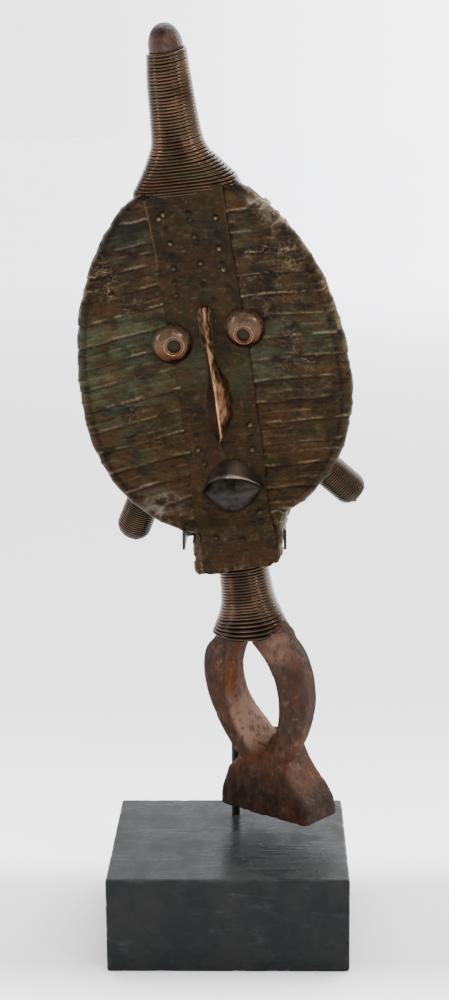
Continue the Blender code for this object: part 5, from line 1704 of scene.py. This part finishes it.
@dataclass
class Stand:
    """Slate block, steel rod and the strap that the figure hangs in."""

    finishes: Finishes
    width: float = 0.170
    depth: float = 0.158
    height: float = 0.068
    edge: float = 0.0016
    nick_depth: float = 0.0011
    rod_place: Pair = (0.0038, 0.0495)
    rod_radius: float = 0.003
    strap_top: float = 0.3000
    strap_left: float = -0.0308
    strap_right: float = 0.0412
    strap_front: float = -0.003
    strap_height: float = 0.0143
    strap_thickness: float = 0.002
    strap_corner: float = 0.008
    strap_squareness: float = 7.0
    rod_dome: float = 0.0008
    rod_gap: float = 0.0003

    def outline(self, inset: Array) -> Array:
        """Plan of the block, inset from its faces, its upright edges rounded by quarter circles."""
        half = np.array([0.5 * self.width, 0.5 * self.depth])
        turn = np.linspace(0.0, 0.5 * math.pi, 5)
        points = []
        for quarter, signs in enumerate(((1, 1), (-1, 1), (-1, -1), (1, -1))):
            angle = turn + quarter * 0.5 * math.pi
            points.append(signs * (half - self.edge) + self.edge * stacked(np.cos(angle), np.sin(angle)))
        corners = np.concatenate(points)
        path = []
        for first, second in zip(corners, np.roll(corners, -1, 0)):
            steps = 64 if np.linalg.norm(second - first) > 0.01 else 1
            path.append(first + (second - first) * np.linspace(0.0, 1.0, steps, endpoint=False)[:, None])
        return np.concatenate(path)[None] * (1.0 - inset[:, None, None] / half)

    def block(self) -> Shape:
        """Block: its plan carried up the side and in over top and underside, the edges nicked."""
        turn = np.linspace(0.0, 0.5 * math.pi, 6)
        half = 0.5 * np.array([self.width, self.depth, self.height])
        centre = half * (0.0, 0.0, 1.0)
        flat = np.linspace(0.995, 0.0, 34)[:-1] * (half[:2].min() - self.edge) + self.edge
        rise = np.linspace(self.edge, self.height - self.edge, 36)[1:-1]
        early, late = self.edge * (1.0 - np.cos(turn)), self.edge * (1.0 - np.sin(turn))
        inset = np.concatenate([flat, late, np.zeros(len(rise)), early, flat[::-1]])
        level = np.concatenate([
            np.zeros(len(flat)), early, rise, self.height - late, np.full(len(flat), self.height)])
        plan = self.outline(inset)
        points = stacked(plan[..., 0], plan[..., 1], level[:, None])
        offs = np.sort(half - np.abs(points - centre), -1)
        nick = unit(noise(points, 0.006, 141) - 0.25) * mound(offs[..., 1], 0.0022)
        points = points + direction(centre - points) * (self.nick_depth * nick)[..., None]
        rub = 0.25 * mound(offs[..., 1], 0.0012) * (0.6 + noise(points, 0.01, 142)) + nick * 0.6
        return tube(points, wear(rub=rub))

    def rod(self) -> Shape:
        """Rod: circles up its length, its upper end domed."""
        angle = circle(40)[None, :]
        turn = np.linspace(0.0, 0.48 * math.pi, 6)[1:]
        top = self.strap_top - self.rod_dome
        level = np.concatenate([np.linspace(self.height, top, 60), top + self.rod_dome * np.sin(turn)])[:, None]
        radius = self.rod_radius - self.rod_dome * np.concatenate([np.zeros(60), 1.0 - np.cos(turn)])[:, None]
        x, y = self.rod_place
        return tube(stacked(x + radius * np.cos(angle), y + radius * np.sin(angle), level))

    def strap(self) -> Shape:
        """Strap: a flat bar's rounded section carried along a U, open to the front."""
        back = self.rod_place[1] - self.rod_radius - self.rod_gap - 0.5 * self.strap_thickness
        turn = np.linspace(0.0, 0.5 * math.pi, 12)
        early, late = self.strap_corner * (1.0 - np.cos(turn)), self.strap_corner * (1.0 - np.sin(turn))
        left = stacked(self.strap_left + early, back - late)
        right = stacked(self.strap_right - late, back - early)
        reach = np.linspace(self.strap_front, left[0, 1], 24)[:-1]
        path = np.concatenate([
            stacked(self.strap_left, reach), left, right, stacked(self.strap_right, reach[::-1])])
        step = direction(np.gradient(path, axis=0))
        out, up = section(0.5 * self.strap_thickness, 0.5 * self.strap_height, self.strap_squareness, circle(32))
        plan = path[:, None] + stacked(-step[:, 1], step[:, 0])[:, None] * out[:, None]
        return tube(stacked(plan[..., 0], plan[..., 1], self.strap_top - 0.5 * self.strap_height + up))

    def build(self) -> None:
        """Set the block, rod and strap."""
        slate, steel = self.finishes.slate, self.finishes.steel
        set_down("slate_block", self.block(), slate, "slate", "base_block", sharp_degrees=45.0)
        set_down("steel_rod", self.rod(), steel, "black_steel", "stand_rod", sharp_degrees=45.0)
        set_down("steel_strap", self.strap(), steel, "black_steel", "cradle_strap", sharp_degrees=45.0)


# ------------------------------------------------------------------ studio

@dataclass
class Studio:
    """Plain pale floor, soft lights and the camera."""

    camera_place: Triple = (0.0308, -1.2901, 0.5819)
    pitch: float = math.radians(11.42)
    heading: float = math.radians(1.44)
    roll: float = math.radians(-0.5)
    lens: float = 66.96
    sensor: float = 36.0
    far: float = 200.0
    floor_half: float = 90.0

    def floor(self) -> None:
        """Large level floor that glows: painted light, brighter in the distance to meet the pale surround,
        towards the viewer's right, just behind the block and in front of it.
        """
        half = self.floor_half
        corners = [(-half, -half, 0.0), (half, -half, 0.0), (half, half, 0.0), (-half, half, 0.0)]
        mesh = bpy.data.meshes.new("floor")
        mesh.from_pydata(corners, [], [(0, 1, 2, 3)])
        floor = bpy.data.objects.new("floor", mesh)
        bpy.context.collection.objects.link(floor)
        paint = Paint("pale_floor")
        place = paint.add("ShaderNodeSeparateXYZ", {0: paint.place}).outputs
        back = place["Y"]
        reach = paint.add("ShaderNodeMath", {0: back, 1: 1.3}, operation="ADD").outputs[0]
        fan = paint.add("ShaderNodeMath", {0: place["X"], 1: reach}, operation="DIVIDE").outputs[0]
        painted_glow = paint.add("ShaderNodeMath", {
            0: paint.band(back, 0.7, 6.0, 0.0, 2.05), 1: paint.band(fan, -0.12, 0.12, 0.84, 1.64)},
            operation="MULTIPLY").outputs[0]
        # Painted light: a brighter band of floor from just behind the block, and brighter floor in front of it,
        # leaving the floor right round the block darker.
        for low, high, more in ((0.07, 0.13, 1.55), (0.16, 0.60, -1.15), (-0.06, -0.13, 1.4)):
            step = {0: painted_glow, 1: paint.band(back, low, high, 0.0, more)}
            painted_glow = paint.add("ShaderNodeMath", step, operation="ADD").outputs[0]
        paint.finish(
            Base_Color=(0.640, 0.620, 0.610), Roughness=0.9, Specular_IOR_Level=0.1,
            Emission_Color=(0.945, 0.975, 1.06), Emission_Strength=painted_glow)
        mesh.materials.append(paint.material)

    def surround(self) -> None:
        """Pale surround: bright behind the figure, softer in front of it."""
        world = bpy.data.worlds.new("studio")
        world.use_nodes = True
        tree = world.node_tree
        place = add_node(tree, "ShaderNodeTexCoord", {}).outputs["Generated"]
        split = add_node(tree, "ShaderNodeSeparateXYZ", {0: place}).outputs
        behind = {"Value": split["Y"], 1: -0.2, 2: 0.85, 3: 0.78, 4: 3.25}
        aside = {"Value": split["X"], 1: -0.10, 2: 0.16, 3: 1.0, 4: 1.90}
        spread = add_node(tree, "ShaderNodeMapRange", behind, interpolation_type="SMOOTHSTEP").outputs[0]
        side = add_node(tree, "ShaderNodeMapRange", aside).outputs[0]
        both = add_node(tree, "ShaderNodeMath", {0: spread, 1: side}, operation="MULTIPLY").outputs[0]
        backdrop = tree.nodes["Background"]
        backdrop.inputs["Color"].default_value = (0.985, 0.995, 1.03, 1.0)
        tree.links.new(both, backdrop.inputs["Strength"])
        bpy.context.scene.world = world

    def soft_light(self, name: str, place: tuple, aim: tuple, size: tuple, power: float) -> None:
        """Rectangular area light at a place, turned to an aim."""
        lamp = bpy.data.lights.new(name, "AREA")
        lamp.shape = "RECTANGLE"
        lamp.size, lamp.size_y = size
        lamp.energy = power
        light = bpy.data.objects.new(name, lamp)
        light.location = place
        light.rotation_euler = (Vector(aim) - Vector(place)).to_track_quat("-Z", "Y").to_euler()
        bpy.context.collection.objects.link(light)

    def lights(self) -> None:
        """Large light overhead and behind, key at the upper right, weaker fill at the left."""
        self.soft_light("overhead", (0.0, 0.45, 2.6), (0.0, 0.1, 0.0), (3.0, 2.4), 118.0)
        self.soft_light("key", (1.35, -1.35, 1.75), (0.0, 0.0, 0.4), (0.30, 0.30), 22.0)
        self.soft_light("left_strip", (-1.90, -0.55, 1.2), (0.0, 0.0, 0.45), (0.12, 0.9), 14.0)
        self.soft_light("right_strip", (1.90, 0.9, 1.2), (0.0, 0.0, 0.45), (0.12, 0.9), 14.0)
        self.soft_light("front_strip", (0.25, -1.95, 2.0), (0.0, 0.0, 0.4), (0.30, 0.12), 8.0)

    def camera(self) -> None:
        """Camera: turned left by its heading, tipped down by its pitch, rolled a little."""
        sight = bpy.data.cameras.new("camera")
        sight.lens = self.lens
        sight.sensor_fit = "VERTICAL"
        sight.sensor_height = self.sensor
        sight.sensor_width = self.sensor
        sight.clip_end = self.far
        camera = bpy.data.objects.new("camera", sight)
        forward = Vector((-math.sin(self.heading), math.cos(self.heading), 0.0))
        crosswise = Vector((math.cos(self.heading), math.sin(self.heading), 0.0))
        look = forward * math.cos(self.pitch) - Vector((0.0, 0.0, math.sin(self.pitch)))
        upright = forward * math.sin(self.pitch) + Vector((0.0, 0.0, math.cos(self.pitch)))
        right = crosswise * math.cos(self.roll) + upright * math.sin(self.roll)
        up = upright * math.cos(self.roll) - crosswise * math.sin(self.roll)
        turn = Matrix((right, up, -look)).transposed().to_4x4()
        camera.matrix_world = Matrix.Translation(self.camera_place) @ turn
        bpy.context.collection.objects.link(camera)
        bpy.context.scene.camera = camera

    def build(self) -> None:
        """Make floor, surround, lights and camera."""
        self.camera()
        self.floor()
        self.surround()
        self.lights()


def main() -> None:
    """Dress the frame: studio, stand, wood, sheets, wire and features, in that order."""
    logging.basicConfig(level=logging.INFO, format="%(message)s")
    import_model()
    Studio().build()
    finishes = make_finishes()
    Stand(finishes).build()
    wood = CarvedWood(finishes.wood)
    wood.build()
    CheekStrips(finishes.strips).build()
    FaceSheet(finishes.face).build()
    Windings(finishes.wire, wood).build()
    Features(finishes).build()


if __name__ == "__main__":
    main()
